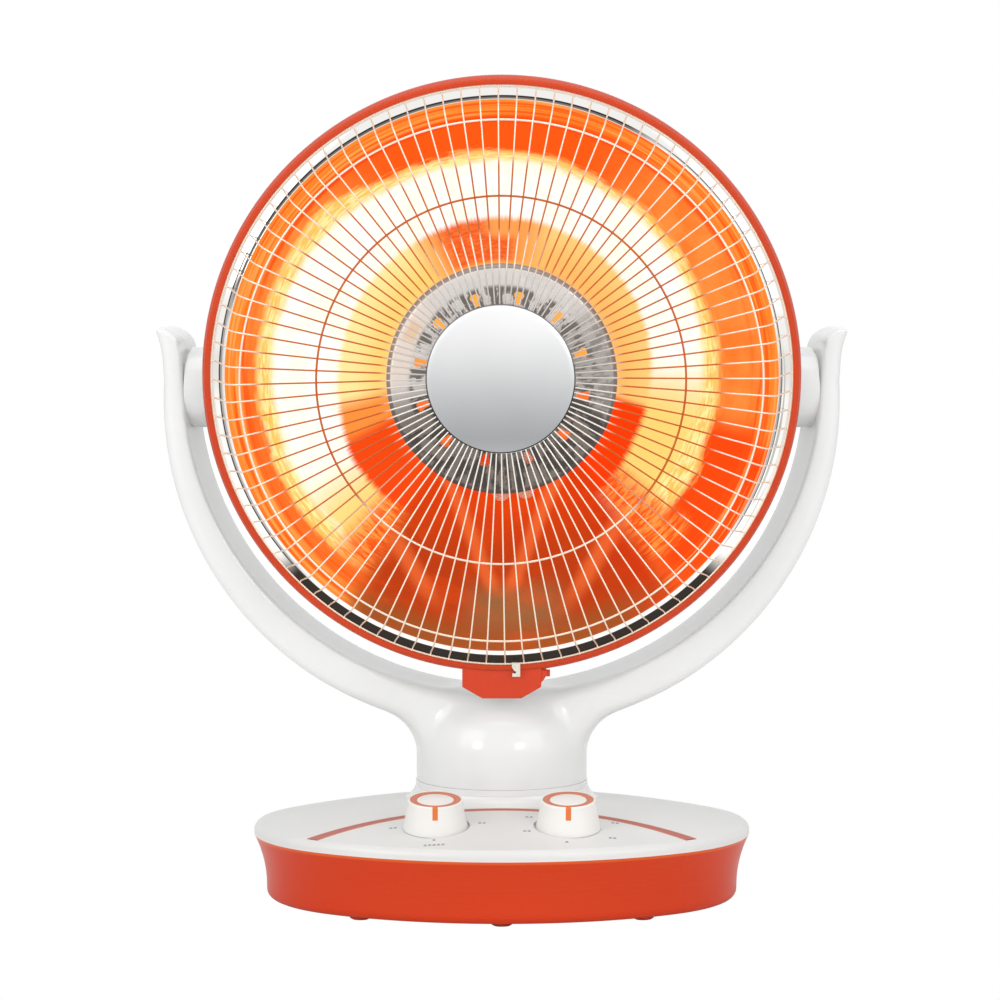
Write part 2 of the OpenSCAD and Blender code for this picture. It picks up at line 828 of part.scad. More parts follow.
module thrust_washer() {
    color(WHITE) at_swivel() translate([0, 0, collar_top]) difference() {
        cylinder(r = thrust_r, h = plate_z - collar_top - 0.1);
        translate([0, 0, -1]) cylinder(r = shaft_d / 2 + 4, h = plate_z - collar_top + 2);
    }
}

module shaft_retainer() {
    color(STEEL) at_swivel() translate([0, 0, sector_z - 2.4]) difference() {
        cylinder(r = bearing_r, h = 2.4);
        translate([0, 0, -1]) cylinder(d = shaft_d, h = 10);
    }
}

// ---------- yoke ----------

// Section of an arm swept on its outside: rounded edges on the far side
module arm_section(r_out, r_in) {
    translate([r_in, -half_depth]) square([r_out - edge_r - r_in, 2 * half_depth]);
    translate([r_in, -(half_depth - edge_r)]) square([r_out - r_in, 2 * (half_depth - edge_r)]);
    for (s = [-1, 1]) translate([r_out - edge_r, s * (half_depth - edge_r)]) circle(r = edge_r);
}

// The same section swept on its inside: rounded edges on the near side
module hollow_section(r_near, r_far) {
    translate([r_near + edge_r, -half_depth]) square([r_far - r_near - edge_r, 2 * half_depth]);
    translate([r_near, -(half_depth - edge_r)]) square([r_far - r_near, 2 * (half_depth - edge_r)]);
    for (s = [-1, 1]) translate([r_near + edge_r, s * (half_depth - edge_r)]) circle(r = edge_r);
}

// Inside of the yoke: an arc below the tilt axis with upright sides, and a bevel widest at the sides
module yoke_inside() {
    translate([0, yoke_y + 100, pivot_z]) rotate([90, 0, 0]) linear_extrude(200) union() {
        circle(r = yoke_in_r, $fn = 256);
        translate([-yoke_in_r, 0]) square([2 * yoke_in_r, 100]);
    }
    translate([0, yoke_y - half_depth, pivot_z + bevel_drop]) rotate([-90 + bevel_tilt, 0, 0])
        translate([0, 0, -20]) cylinder(r1 = yoke_in_r + bevel + 20 * tan(bevel_a),
            r2 = yoke_in_r + bevel - 60 * tan(bevel_a), h = 80, $fn = 256);
}

// The solid form of the whole yoke
module yoke_form() {
    difference() {
        union() {
            intersection() {
                turned_about_y(0, pivot_z, 0) arm_section(yoke_low_r, yoke_in_r - 8);
                slab([[0, pivot_z], [split_x, split_z], [-split_x, split_z]]);
            }
            both_sides() {
                intersection() {
                    turned_about_y(side_shift, side_z, 180) arm_section(side_r, side_r - 34);
                    slab([[side_shift, side_z], [split_x, split_z], [500, split_z], [flare_x, flare_z]]);
                }
                intersection() {
                    turned_about_y(flare_x, flare_z, 0) hollow_section(flare_r, flare_r + 26);
                    slab([[flare_x, flare_z], [side_shift, side_z], [side_shift, 500], [flare_x - 100, 500]]);
                    translate([shoulder_x, yoke_y + 50, shoulder_z]) rotate([90, 0, 0])
                        linear_extrude(100) union() {
                            circle(r = shoulder_r);
                            translate([-40, -60]) square([80, 60]);
                        }
                }
            }
            intersection() {
                at_swivel() rotate([0, 0, 40]) rotate_extrude() polygon(concat(
                    [[0, corner_z - 4], [corner_x - corner_r, corner_z - 4]],
                    [for (a = [180:-7.5:97.5]) [corner_x + corner_r * cos(a), corner_z + corner_r * sin(a)]],
                    [[corner_x - 2, saddle_z + 8], [0, saddle_z + 8]]
                ));
                translate([-100, yoke_y - half_depth, 0]) cube([200, yoke_depth, 200]);
            }
            at_swivel() rotate([0, 0, 40]) rotate_extrude() polygon(concat(
                [[0, seam_z], [neck_r, seam_z]],
                [for (a = [0:10:90]) [
                    neck_top_r + (neck_r - neck_top_r) * cos(a),
                    neck_straight_z + (saddle_z - 1.5 - neck_straight_z) * sin(a)
                ]],
                [[0, saddle_z - 1.5]]
            ));
        }
        yoke_inside();
        both_sides() translate([boss_seat_x, yoke_y, pivot_z]) rotate([0, -90, 0])
            cylinder(r = boss_stem_r, h = 40);
    }
}

// Section of the hollow inside an arm: near and far are the depths of its inner side, rear and front
module cavity_section(r_out, rear, front) {
    h = half_depth - yoke_wall;
    polygon([[r_out - rear, -h], [r_out - yoke_wall - 3, -h], [r_out - yoke_wall, -h + 3],
        [r_out - yoke_wall, h - 3], [r_out - yoke_wall - 3, h], [r_out - front, h]]);
}

module yoke_cavity() {
    intersection() {
        turned_about_y(0, pivot_z, 0) cavity_section(yoke_low_r, 17, 12);
        slab([[0, pivot_z], [split_x, split_z], [-split_x, split_z]]);
    }
    both_sides() intersection() {
        turned_about_y(side_shift, side_z, 180) cavity_section(side_r, 17, 12);
        slab([[side_shift, side_z], [split_x, split_z], [500, split_z], [500, side_z - 90]]);
    }
    at_swivel() rotate([0, 0, 40]) rotate_extrude() polygon([
        [0, seam_z - 5], [neck_r - yoke_wall, seam_z - 5], [neck_r - yoke_wall, neck_straight_z],
        [neck_r - yoke_wall - 4, neck_straight_z + 14], [neck_top_r + 3, saddle_z - 8], [0, saddle_z - 8]
    ]);
}

// Posts inside the hollow that take the screws
module yoke_posts() {
    for (side = [0, 1], a = yoke_screw_angles) mirror([side, 0, 0])
        translate([yoke_screw_r * cos(a), yoke_y + 40, pivot_z + yoke_screw_r * sin(a)])
            rotate([90, 0, 0]) cylinder(d = screw_d + 4, h = 80);
    at_swivel() for (p = plate_screws_at) translate([p[0], p[1], plate_z + plate_t])
        cylinder(d = screw_d + 5, h = 60);
}

module yoke_holes() {
    for (side = [0, 1], a = yoke_screw_angles) mirror([side, 0, 0])
        translate([yoke_screw_r * cos(a), yoke_y, pivot_z + yoke_screw_r * sin(a)]) rotate([90, 0, 0]) {
            translate([0, 0, -60]) cylinder(d = screw_d, h = 60 + half_depth - 6, $fn = 24);
            translate([0, 0, -60]) cylinder(d = screw_head_d + 2 * seat_gap, h = 60 - half_depth + 3, $fn = 32);
        }
    at_swivel() for (p = plate_screws_at) translate([p[0], p[1], 0])
        cylinder(d = screw_d, h = plate_z + plate_t + 14, $fn = 24);
}

module yoke_half(y) {
    difference() {
        intersection() {
            yoke_form();
            translate([-300, y, 0]) cube([600, 100, 600]);
        }
        difference() {
            yoke_cavity();
            yoke_posts();
        }
        yoke_holes();
    }
}

module yoke_front() {
    color(WHITE) yoke_half(yoke_y - 100);
}

module yoke_rear() {
    color(WHITE) yoke_half(yoke_y);
}

module yoke_screws() {
    color(STEEL) for (side = [0, 1], a = yoke_screw_angles) mirror([side, 0, 0])
        translate([yoke_screw_r * cos(a), yoke_y, pivot_z + yoke_screw_r * sin(a)]) rotate([90, 0, 0]) {
            translate([0, 0, -half_depth + 3]) cylinder(d = screw_d, h = 2 * half_depth - 10, $fn = 24);
            translate([0, 0, -half_depth + 3 - screw_head_h])
                cylinder(d = screw_head_d, h = screw_head_h, $fn = 32);
        }
    color(STEEL) at_swivel() for (p = plate_screws_at) translate([p[0], p[1], plate_z]) {
        cylinder(d = screw_d, h = plate_t + 12, $fn = 24);
        translate([0, 0, 0.1 - 1.6]) cylinder(d = screw_head_d, h = 1.5, $fn = 32);
    }
}

module pivot_bosses() {
    color(WHITE) both_sides() difference() {
        union() {
            intersection() {
                translate([boss_face_x, yoke_y, pivot_z]) rotate([0, 90, 0]) cylinder(r = boss_r, h = 40);
                yoke_inside();
            }
            translate([boss_face_x, yoke_y, pivot_z]) rotate([0, 90, 0])
                cylinder(r = boss_stem_r - run_gap, h = boss_seat_x - boss_face_x);
        }
        translate([boss_face_x - 1, yoke_y, pivot_z]) rotate([0, 90, 0])
            cylinder(d = pin_d, h = pin_out_x - boss_face_x + 1);
    }
}

module pivot_pins() {
    color(STEEL) both_sides() translate([pin_in_x, yoke_y, pivot_z]) rotate([0, 90, 0])
        cylinder(d = pin_d, h = pin_out_x - pin_in_x);
}

module friction_washers() {
    color(DARK) both_sides() translate([hub_face_x + face_gap, yoke_y, pivot_z])
        rotate([0, 90, 0]) difference() {
        cylinder(r = hub_r - 2, h = washer_t);
        translate([0, 0, -1]) cylinder(d = pin_d + 2 * run_gap, h = 4);
    }
}

// ---------- head ----------

// Outline of the hoop's outside, from its rear edge to its front lip
function hoop_outline() = [
    [hoop_r - 1.5, shell_z], [hoop_r, shell_z + 3], [hoop_r, 0], [hoop_r - 0.7, 0.5 * hoop_front],
    [hoop_r - 1.8, 0.86 * hoop_front], [hoop_r - 2.9, hoop_front]
];

module hoop() {
    color(ORANGE) head_frame() rotate_extrude($fn = 180) polygon(concat(
        hoop_outline(),
        [[lip_r, hoop_front], [lip_r, flange_z], [hoop_in_r, flange_z], [hoop_in_r, rear_lip_z],
            [rear_lip_r, rear_lip_z], [rear_lip_r, shell_z]]
    ));
}

module hoop_block() {
    color(ORANGE) difference() {
        translate([0, rim_y - hoop_front + 2 + block_depth, head_z]) rotate([90, 0, 0])
            linear_extrude(block_depth) union() {
                polygon([
                    [-block_w / 2, -hoop_r + 12], [-block_w / 2, -hoop_r - block_side],
                    [-block_flat / 2, -hoop_r - block_h], [block_flat / 2, -hoop_r - block_h],
                    [block_w / 2, -hoop_r - block_side], [block_w / 2, -hoop_r + 12]
                ]);
                translate([block_w / 2 - 1, -hoop_r - lug_drop - 2.3])
                    square([lug_w + 1, lug_drop + 5]);
            }
        head_frame() rotate_extrude($fn = 180)
            polygon(concat([[0, shell_z]], hoop_outline(), [[0, hoop_front]]));
        head_frame() translate([tab_x, -hoop_r - 4, -10]) cylinder(d = screw_d - 1, h = 30, $fn = 24);
    }
}

// The clamp screw that draws the hoop's joint together, its head on the block's right side
module hoop_screw() {
    color(STEEL) translate([block_w / 2 + lug_w, rim_y - 1, head_z - hoop_r - lug_drop]) rotate([0, 90, 0])
        cylinder(d = clamp_screw_d, h = screw_head_h, $fn = 32);
}

function dish_front(r) = flange_z - dish_depth * (1 - pow(r / mouth_r, 2));

module reflector() {
    color(STEEL) head_frame() difference() {
        union() {
            rotate_extrude($fn = 180) polygon(concat(
                [for (i = [0:24]) let (r = post_hole_r + (mouth_r - post_hole_r) * i / 24) [r, dish_front(r)]],
                [[shell_rim_r, flange_z], [shell_rim_r, flange_z - sheet], [mouth_r + 1, flange_z - sheet]],
                [for (i = [24:-1:0]) let (r = post_hole_r + (mouth_r - post_hole_r) * i / 24)
                    [r, dish_front(r) - 1.5 * sheet]]
            ));
            rotate_extrude($fn = 180) translate([mouth_r, flange_z + 0.3]) circle(r = bead_r, $fn = 32);
        }
        for (a = socket_angles) rotate([0, 0, a]) translate([tube_ring_r, 0, -80])
            cylinder(d = socket_d + 2 * seat_gap, h = 90);
    }
}

// Outline of the rear shell's bowl, g smaller all round, from the hoop to the flat back
function bowl_outline(g) = [for (i = [0:16]) let (t = shell_flat_a * i / 16)
    [(shell_r - g) * cos(t), shell_z - (shell_depth - g) * sin(t)]];

module rear_shell() {
    color(WHITE) head_frame() difference() {
        union() {
            rotate_extrude($fn = 180) polygon(concat(
                [[shell_rim_r - shell_wall, flange_z - sheet], [shell_rim_r, flange_z - sheet]],
                [[shell_rim_r, rear_lip_z], [shell_r, rear_lip_z]],
                bowl_outline(0),
                [[post_access_r, shell_back_z], [post_access_r, shell_back_z + shell_wall]],
                [for (i = [16:-1:0]) bowl_outline(shell_wall)[i]],
                [[shell_r - shell_wall, rear_lip_z + shell_wall],
                    [shell_rim_r - shell_wall, rear_lip_z + shell_wall]]
            ));
            intersection() {
                for (side = [-1, 1], dy = [-1, 1])
                    translate([side * pad_x, -pivot_drop + dy * hub_screw_at, rim_y - yoke_y])
                        rotate([0, side * 90, 0]) cylinder(d = 10, h = 40);
                rotate_extrude($fn = 180) polygon(concat([[0, shell_z]], bowl_outline(0), [[0, shell_back_z]]));
            }
        }
        for (side = [-1, 1], dy = [-1, 1])
            translate([side * (pad_x - 1), -pivot_drop + dy * hub_screw_at, rim_y - yoke_y])
                rotate([0, side * 90, 0]) cylinder(d = screw_d, h = 40, $fn = 24);
        for (a = [0:30:330]) rotate([0, 0, a + 15])
            translate([cap_r + vent_gap, -vent_w / 2, shell_back_z - 1]) cube([vent_l, vent_w, shell_wall + 2]);
        for (a = [0, 180]) rotate([0, 0, a]) translate([cap_r - 5, 0, shell_back_z - 1])
            cylinder(d = screw_d - 2 * run_gap, h = 10, $fn = 24);
    }
}

module pivot_hubs() {
    color(WHITE) both_sides() difference() {
        translate([pad_x - hub_screw_reach, yoke_y, pivot_z]) rotate([0, 90, 0])
            cylinder(r = hub_r, h = hub_face_x - pad_x + hub_screw_reach);
        head_frame() rotate_extrude($fn = 180)
            polygon(concat([[0, flange_z], [shell_r, flange_z]], bowl_outline(0), [[0, shell_back_z]]));
        translate([pin_in_x - run_gap, yoke_y, pivot_z]) rotate([0, 90, 0])
            cylinder(d = pin_d + 2 * run_gap, h = 2 * pin_hold);
        for (dz = [-1, 1]) translate([pad_x, yoke_y, pivot_z + dz * hub_screw_at]) rotate([0, 90, 0])
            cylinder(d = screw_d, h = hub_screw_reach + 1, $fn = 24);
    }
}

module hub_screws() {
    color(STEEL) both_sides() for (dz = [-1, 1])
        translate([pad_x, yoke_y, pivot_z + dz * hub_screw_at]) rotate([0, 90, 0]) {
            cylinder(d = screw_d, h = hub_screw_reach, $fn = 24);
            translate([0, 0, -screw_head_h]) cylinder(d = screw_head_d, h = screw_head_h, $fn = 32);
        }
}

module element_post() {
    color(STEEL) head_frame() difference() {
        rotate_extrude() polygon([
            [0, dish_front(post_flange_r) + 1.6], [0, shield_z - shield_t], [post_d / 2, shield_z - shield_t],
            [post_d / 2, dish_front(post_flange_r) + 1.6], [post_flange_r, dish_front(post_flange_r) + 1.6],
            [post_flange_r, dish_front(post_flange_r)], [post_hole_r - seat_gap, dish_front(post_flange_r)],
            [post_hole_r - seat_gap, shell_back_z + shell_wall + 1],
                [post_hole_r - 4, shell_back_z + shell_wall + 1],
            [post_hole_r - 4, dish_front(post_flange_r)], [0, dish_front(post_flange_r)]
        ]);
        translate([0, 0, shield_z - post_screw_l]) cylinder(d = screw_d, h = 2 * post_screw_l, $fn = 24);
    }
}

module tube_bracket() {
    color(STEEL) head_frame() translate([0, 0, tube_z]) difference() {
        union() {
            translate([0, 0, -bracket_h / 2]) cylinder(r = post_d / 2 + 2, h = bracket_h);
            for (a = [90, 210, 330]) rotate([0, 0, a]) translate([post_d / 2, -4, -1])
                cube([tube_ring_r - tube_d / 2 - 0.3 - post_d / 2, 8, 2]);
        }
        translate([0, 0, -bracket_h]) cylinder(d = post_d, h = 2 * bracket_h);
    }
}

// The two closed ends of the quartz tube, which point outwards on both sides of the gap
module tube_ends(d) {
    for (s = [-1, 1]) rotate([0, 0, gap_mid_a + s * (tube_gap_a / 2 - 2)]) translate([tube_ring_r, 0, 0]) {
        rotate([0, 90, 0]) cylinder(d = d, h = tip_reach, $fn = 48);
        translate([tip_reach, 0, 0]) sphere(d = d, $fn = 48);
    }
}

module quartz_tube() {
    color([0.95, 0.80, 0.70]) head_frame() translate([0, 0, tube_z]) {
        difference() {
            union() {
                rotate([0, 0, gap_mid_a + tube_gap_a / 2]) rotate_extrude(angle = 360 - tube_gap_a)
                    translate([tube_ring_r, 0]) circle(d = tube_d, $fn = 48);
                tube_ends(stub_d);
            }
            rotate([0, 0, gap_mid_a + tube_gap_a / 2 + 4]) rotate_extrude(angle = 352 - tube_gap_a)
                translate([tube_ring_r, 0]) circle(d = tube_d - 2.4, $fn = 48);
        }
    }
}

module heating_coil() {
    color([1, 0.6, 0.25]) head_frame() translate([0, 0, tube_z])
        rotate([0, 0, gap_mid_a + tube_gap_a / 2 + 5]) rotate_extrude(angle = 350 - tube_gap_a)
            translate([tube_ring_r, 0]) circle(d = coil_d, $fn = 32);
}

module ceramic_sockets() {
    color(CERAMIC) head_frame() for (a = socket_angles) rotate([0, 0, a]) difference() {
        translate([tube_ring_r, 0, shell_back_z + shell_wall + 6])
            cylinder(d = socket_d, h = tube_z - shell_back_z - shell_wall - 6 - 1);
        translate([0, 0, tube_z]) rotate_extrude() translate([tube_ring_r, 0])
            circle(d = tube_d + 0.1, $fn = 48);
        rotate([0, 0, -a]) translate([0, 0, tube_z]) tube_ends(stub_d + seat_gap);
    }
}

module shield() {
    color(STEEL) head_frame() difference() {
        rotate_extrude($fn = 180) polygon([
            [screw_d / 2 + 0.2, shield_z], [20, shield_z], [shield_r - 3, shield_z - 1.2],
            [shield_r - 0.6, shield_z - 2.2], [shield_r, shield_z - 6], [shield_r - shield_t, shield_z - 6],
            [shield_r - 0.6 - shield_t, shield_z - 2.2 - shield_t], [shield_r - 3, shield_z - 1.2 - shield_t],
            [20, shield_z - shield_t], [screw_d / 2 + 0.2, shield_z - shield_t]
        ]);
        for (i = [0:louvres - 1]) rotate([0, 0, louvre_a + 360 * i / louvres])
            translate([louvre_r, 0, shield_z - 10]) linear_extrude(20)
                polygon([[-3.5, -1.5], [3.5, -3.2], [3.5, 3.2], [-3.5, 1.5]]);
    }
}

module shield_screw() {
    color(STEEL) head_frame() translate([0, 0, shield_z]) pan_screw(post_screw_l - 1);
}

module thermal_cutout() {
    color(DARK) head_frame() translate([0, 34, shell_back_z + shell_wall]) cylinder(d = 12, h = 4.5);
}

module rear_cap() {
    color(WHITE) head_frame() translate([0, 0, shell_back_z - cap_h]) difference() {
        union() {
            cylinder(r1 = cap_r - 4, r2 = cap_r, h = 4);
            translate([0, 0, 4]) cylinder(r = cap_r, h = cap_h - 4);
        }
        difference() {
            translate([0, 0, 2.4]) cylinder(r = cap_r - 2.4, h = cap_h);
            for (a = [0, 180]) rotate([0, 0, a]) translate([cap_r - 5, 0, 0]) cylinder(d = 8, h = 40);
        }
        for (a = [0, 180]) rotate([0, 0, a]) translate([cap_r - 5, 0, -1]) {
            cylinder(d = screw_d, h = 40, $fn = 24);
            cylinder(d = screw_head_d + 2 * seat_gap, h = 1 + screw_head_h, $fn = 32);
        }
    }
}

module cap_screws() {
    color(STEEL) head_frame() for (a = [0, 180]) rotate([0, 0, a])
        translate([cap_r - 5, 0, shell_back_z - cap_h]) {
            cylinder(d = screw_head_d, h = screw_head_h, $fn = 32);
            cylinder(d = screw_d - 2 * run_gap, h = cap_h + shell_wall, $fn = 24);
        }
}

// ---------- grille ----------

// One wire: a straight run, a bend, and a steep run back to the rim wire
module grille_wire() {
    translate([bend_x, 0, grille_z - wire_bend_r]) {
        translate([0, 0, wire_bend_r]) rotate([0, -90, 0])
            cylinder(d = wire_d, h = bend_x - wire_in_r, $fn = 16);
        intersection() {
            rotate([90, 0, 0]) rotate_extrude($fn = 60) translate([wire_bend_r, 0])
                circle(d = wire_d, $fn = 16);
            rotate([90, 0, 0]) translate([0, 0, -wire_d]) linear_extrude(2 * wire_d)
                polygon([[0, 0], 25 * [cos(steep_a), sin(steep_a)], [24, 24], [0, 24]]);
        }
        translate(wire_bend_r * [cos(steep_a), 0, sin(steep_a)]) rotate([0, 180 - steep_a, 0])
            cylinder(d = wire_d, h = steep_drop / cos(steep_a), $fn = 16);
    }
}

module grille_spokes() {
    color(STEEL) head_frame() for (i = [0:wires - 1]) rotate([0, 0, 360 * (i + 0.5) / wires]) grille_wire();
}

module wire_ring(r, d, z) {
    head_frame() translate([0, 0, z]) rotate_extrude($fn = 180) translate([r, 0]) circle(d = d, $fn = 24);
}

module grille_mid_ring() {
    color(STEEL) wire_ring(mid_ring_r, ring_d, grille_z - (wire_d + ring_d) / 2);
}

module grille_outer_ring() {
    color(STEEL) wire_ring(outer_ring_r, ring_d, grille_z - (wire_d + ring_d) / 2);
}

module grille_rim_wire() {
    color(STEEL) wire_ring(grille_end_r, rim_wire_d, rim_wire_z);
}

module grille_disc() {
    color([0.9, 0.9, 0.91]) head_frame() translate([0, 0, grille_z + wire_d / 2]) rotate_extrude($fn = 180)
        polygon([[0, 0], [disc_r - 0.6, 0], [disc_r, 0.6], [disc_r - 0.5, 1.2], [disc_r * 0.7, disc_h - 0.5],
            [disc_r * 0.4, disc_h - 0.1], [0, disc_h]]);
}

module grille_back_plate() {
    color(DARK) head_frame() translate([0, 0, grille_z - wire_d / 2 - 1]) cylinder(r = disc_r - 1.5, h = 1);
}

// The small tab that locks the grille to the hoop, with its screw
module grille_tab() {
    color(STEEL) head_frame() translate([tab_x, 0, hoop_front]) {
        translate([-2.3, -hoop_r, 0]) cube([4.6, 6.4, 1]);
        translate([0, -hoop_r + 1.6, 1]) cylinder(d = 2.6, h = 0.8, $fn = 24);
    }
}

base_housing();
base_deck();
deck_inlay();
swivel_collar();
counterweight();
rubber_feet();
base_screws();
cord_gland();
terminal_block();
power_switch();
mode_switch();
switch_nuts();
swing_motor();
motor_screws();
tip_switch();
tip_plunger();
plunger_spring();
knob_left();
knob_left_insert();
stem_left();
knob_right();
knob_right_insert();
stem_right();
drive_pinion();
thrust_washer();
swivel_plate();
sector_gear();
shaft_retainer();
yoke_front();
yoke_rear();
yoke_screws();
pivot_bosses();
pivot_pins();
friction_washers();
rear_shell();
hoop();
hoop_block();
hoop_screw();
reflector();
pivot_hubs();
hub_screws();
element_post();
tube_bracket();
quartz_tube();
heating_coil();
ceramic_sockets();
shield();
shield_screw();
thermal_cutout();
rear_cap();
cap_screws();
grille_spokes();
grille_mid_ring();
grille_outer_ring();
grille_rim_wire();
grille_disc();
grille_back_plate();
grille_tab();
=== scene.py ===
import json
import math

import bmesh
import bpy
import numpy as np
from mathutils import Matrix, Vector, noise


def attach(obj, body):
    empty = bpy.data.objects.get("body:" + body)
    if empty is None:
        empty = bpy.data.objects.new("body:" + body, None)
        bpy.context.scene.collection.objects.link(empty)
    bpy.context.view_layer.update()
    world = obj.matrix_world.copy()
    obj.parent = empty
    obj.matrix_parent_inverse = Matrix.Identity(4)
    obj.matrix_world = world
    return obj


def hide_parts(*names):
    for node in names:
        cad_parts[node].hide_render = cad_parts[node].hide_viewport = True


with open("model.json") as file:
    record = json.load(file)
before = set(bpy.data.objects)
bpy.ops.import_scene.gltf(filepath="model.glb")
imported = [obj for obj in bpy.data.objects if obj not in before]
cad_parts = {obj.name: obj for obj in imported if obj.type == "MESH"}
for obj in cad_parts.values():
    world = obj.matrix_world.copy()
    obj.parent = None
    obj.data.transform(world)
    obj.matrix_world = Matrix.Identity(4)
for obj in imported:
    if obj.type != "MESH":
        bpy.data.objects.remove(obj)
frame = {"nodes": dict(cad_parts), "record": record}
bpy.context.scene.view_settings.view_transform = "Standard"
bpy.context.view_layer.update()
NODES = frame["nodes"]

MM = 0.001
HEAD = Vector((0.0, -0.020, 0.305))  # middle of the hoop's widest plane, in metres
TILT_Z = 294.0  # height of the tilt axis, which is the middle of the yoke's arcs
NECK_Y = 20.0  # the neck stands this far behind the middle of the base
SADDLE_R = 173.5  # inside of the saddle and arms
INLAY_ARCS = ((-254.0, 218.5), (-232.0, 191.5))  # upper and lower edge: centre in y, radius
DISC_SHIFT = (-0.7, 2.2)  # right and up from the dish axis to the disc's middle, in millimetres
AXIS_R = 0.001  # a radius that closes a turned form at its axis


# ---------- camera ----------

def new_object(name, data):
    """A new object in the scene."""
    obj = bpy.data.objects.new(name, data)
    bpy.context.scene.collection.objects.link(obj)
    return obj


def make_camera():
    """A long lens in front of the heater, a little above it and tipped down."""
    down = 6.47  # degrees
    data = bpy.data.cameras.new("photo_camera")
    cam = new_object("photo_camera", data)
    data.sensor_width = 36
    data.lens = 270.5
    data.clip_start, data.clip_end = 0.1, 60
    cam.location = (-0.001, -4.265, 0.7148)
    cam.rotation_euler = (math.radians(90 - down), 0, 0)
    bpy.context.scene.camera = cam


make_camera()


# ---------- materials ----------

def tone(r, g, b):
    """A colour written in the 0 to 255 steps of a screen, as linear light."""
    def linear(v):
        v = v / 255
        return v / 12.92 if v <= 0.04045 else ((v + 0.055) / 1.055) ** 2.4
    return (linear(r), linear(g), linear(b), 1.0)


BLACK = tone(0, 0, 0)


class Val:
    """A socket of one material, with sums written as Python expressions."""

    def __init__(self, recipe, socket):
        self.recipe, self.socket = recipe, socket

    def sum(self, kind, a, b=0.0, **settings):
        return self.recipe.put("ShaderNodeMath", {"operation": kind, **settings}, {0: a, 1: b})

    def __add__(self, o):
        return self.sum("ADD", self, o)

    def __sub__(self, o):
        return self.sum("SUBTRACT", self, o)

    def __mul__(self, o):
        return self.sum("MULTIPLY", self, o)

    def __truediv__(self, o):
        return self.sum("DIVIDE", self, o)

    def __rsub__(self, o):
        return self.sum("SUBTRACT", o, self)

    def __rtruediv__(self, o):
        return self.sum("DIVIDE", o, self)

    __radd__ = __add__
    __rmul__ = __mul__

    def root(self):
        return self.sum("SQRT", self)

    def clip(self):
        return self.sum("MULTIPLY", self, 1.0, use_clamp=True)


class Recipe:
    """One material: its tree, its shader, and the nodes that feed it."""

    def __init__(self, name, **shader):
        self.material = bpy.data.materials.new(name)
        self.material.use_nodes = True
        self.tree = self.material.node_tree
        self.shader = self.tree.nodes["Principled BSDF"]
        for key, value in shader.items():
            self.shader.inputs[key.replace("_", " ")].default_value = value

    def put(self, kind, settings=None, links=None, out=0):
        """Makes one node, sets it up, and gives back one of its outputs."""
        node = self.tree.nodes.new(kind)
        for key, value in (settings or {}).items():
            if key == "stops":
                ramp = node.color_ramp
                while len(ramp.elements) < len(value):
                    ramp.elements.new(0.5)
                for element, (place, colour) in zip(ramp.elements, value):
                    element.position, element.color = place, colour
            else:
                setattr(node, key, value)
        for key, value in (links or {}).items():
            if isinstance(value, Val):
                self.tree.links.new(value.socket, node.inputs[key])
            else:
                node.inputs[key].default_value = value
        return Val(self, node.outputs[out])

    def feed(self, **links):
        """Links or sets the shader's inputs by name."""
        for key, value in links.items():
            target = self.shader.inputs[key.replace("_", " ")]
            if isinstance(value, Val):
                self.tree.links.new(value.socket, target)
            else:
                target.default_value = value
        return self

    def place(self):
        """The place on the piece as it stands at rest."""
        return self.put("ShaderNodeTexCoord", out="Object")

    def axes(self):
        """The three coordinates of that place."""
        first = self.put("ShaderNodeSeparateXYZ", None, {0: self.place()})
        return [Val(self, socket) for socket in first.socket.node.outputs]

    def noise(self, scale, detail=3.0, rough=0.55, vector=None):
        return self.put("ShaderNodeTexNoise", None, {
            "Vector": vector or self.place(), "Scale": scale, "Detail": detail, "Roughness": rough})

    def mix(self, share, a, b):
        """The colour a, or b where share is 1."""
        return self.put("ShaderNodeMix", {"data_type": "RGBA"}, {0: share, 6: a, 7: b}, 2)

    def step(self, value, low, high):
        """0 below low, 1 above high, smooth between; falls where low is above high."""
        return self.put("ShaderNodeMapRange", {"interpolation_type": "SMOOTHSTEP"},
                        {0: value, 1: low, 2: high, 3: 0.0, 4: 1.0})

    def band(self, value, low, high, soft_low, soft_high=None):
        """1 between low and high, with an edge of its own softness at each."""
        soft_high = soft_high or soft_low
        rise = self.step(value, low - soft_low, low + soft_low)
        return rise * self.step(value, high + soft_high, high - soft_high)

    def bump(self, height, distance, strength=1.0):
        return self.feed(Normal=self.put("ShaderNodeBump", None, {
            "Height": height, "Distance": distance, "Strength": strength}))


def plastic(name, colour, rough=0.34, grain=0.00002, **shader):
    """Moulded plastic, a little uneven in colour and gloss, with a fine grain."""
    made = Recipe(name, Roughness=rough, IOR=1.5, **shader)
    cloud = made.noise(9.0, 4)
    fine = made.noise(2600.0, 2)
    dark = tuple(c * 0.93 for c in colour[:3]) + (1.0,)
    made.feed(Base_Color=made.mix(made.step(cloud, 0.3, 0.75), dark, colour),
              Roughness=rough - 0.03 + cloud * 0.08)
    return made.bump(fine, grain, 0.5)


def metal(name, colour, rough=0.25, streak=0.06, scale=300.0):
    """Plated or cast metal, whose gloss changes from place to place by streak."""
    made = Recipe(name, Metallic=1.0)
    cloud = made.noise(30.0, 4)
    fine = made.noise(scale, 3)
    dark = tuple(c * 0.8 for c in colour[:3]) + (1.0,)
    made.feed(Base_Color=made.mix(cloud, dark, colour), Roughness=rough - streak / 2 + fine * streak)
    return made.bump(fine, 0.00001, 0.3)


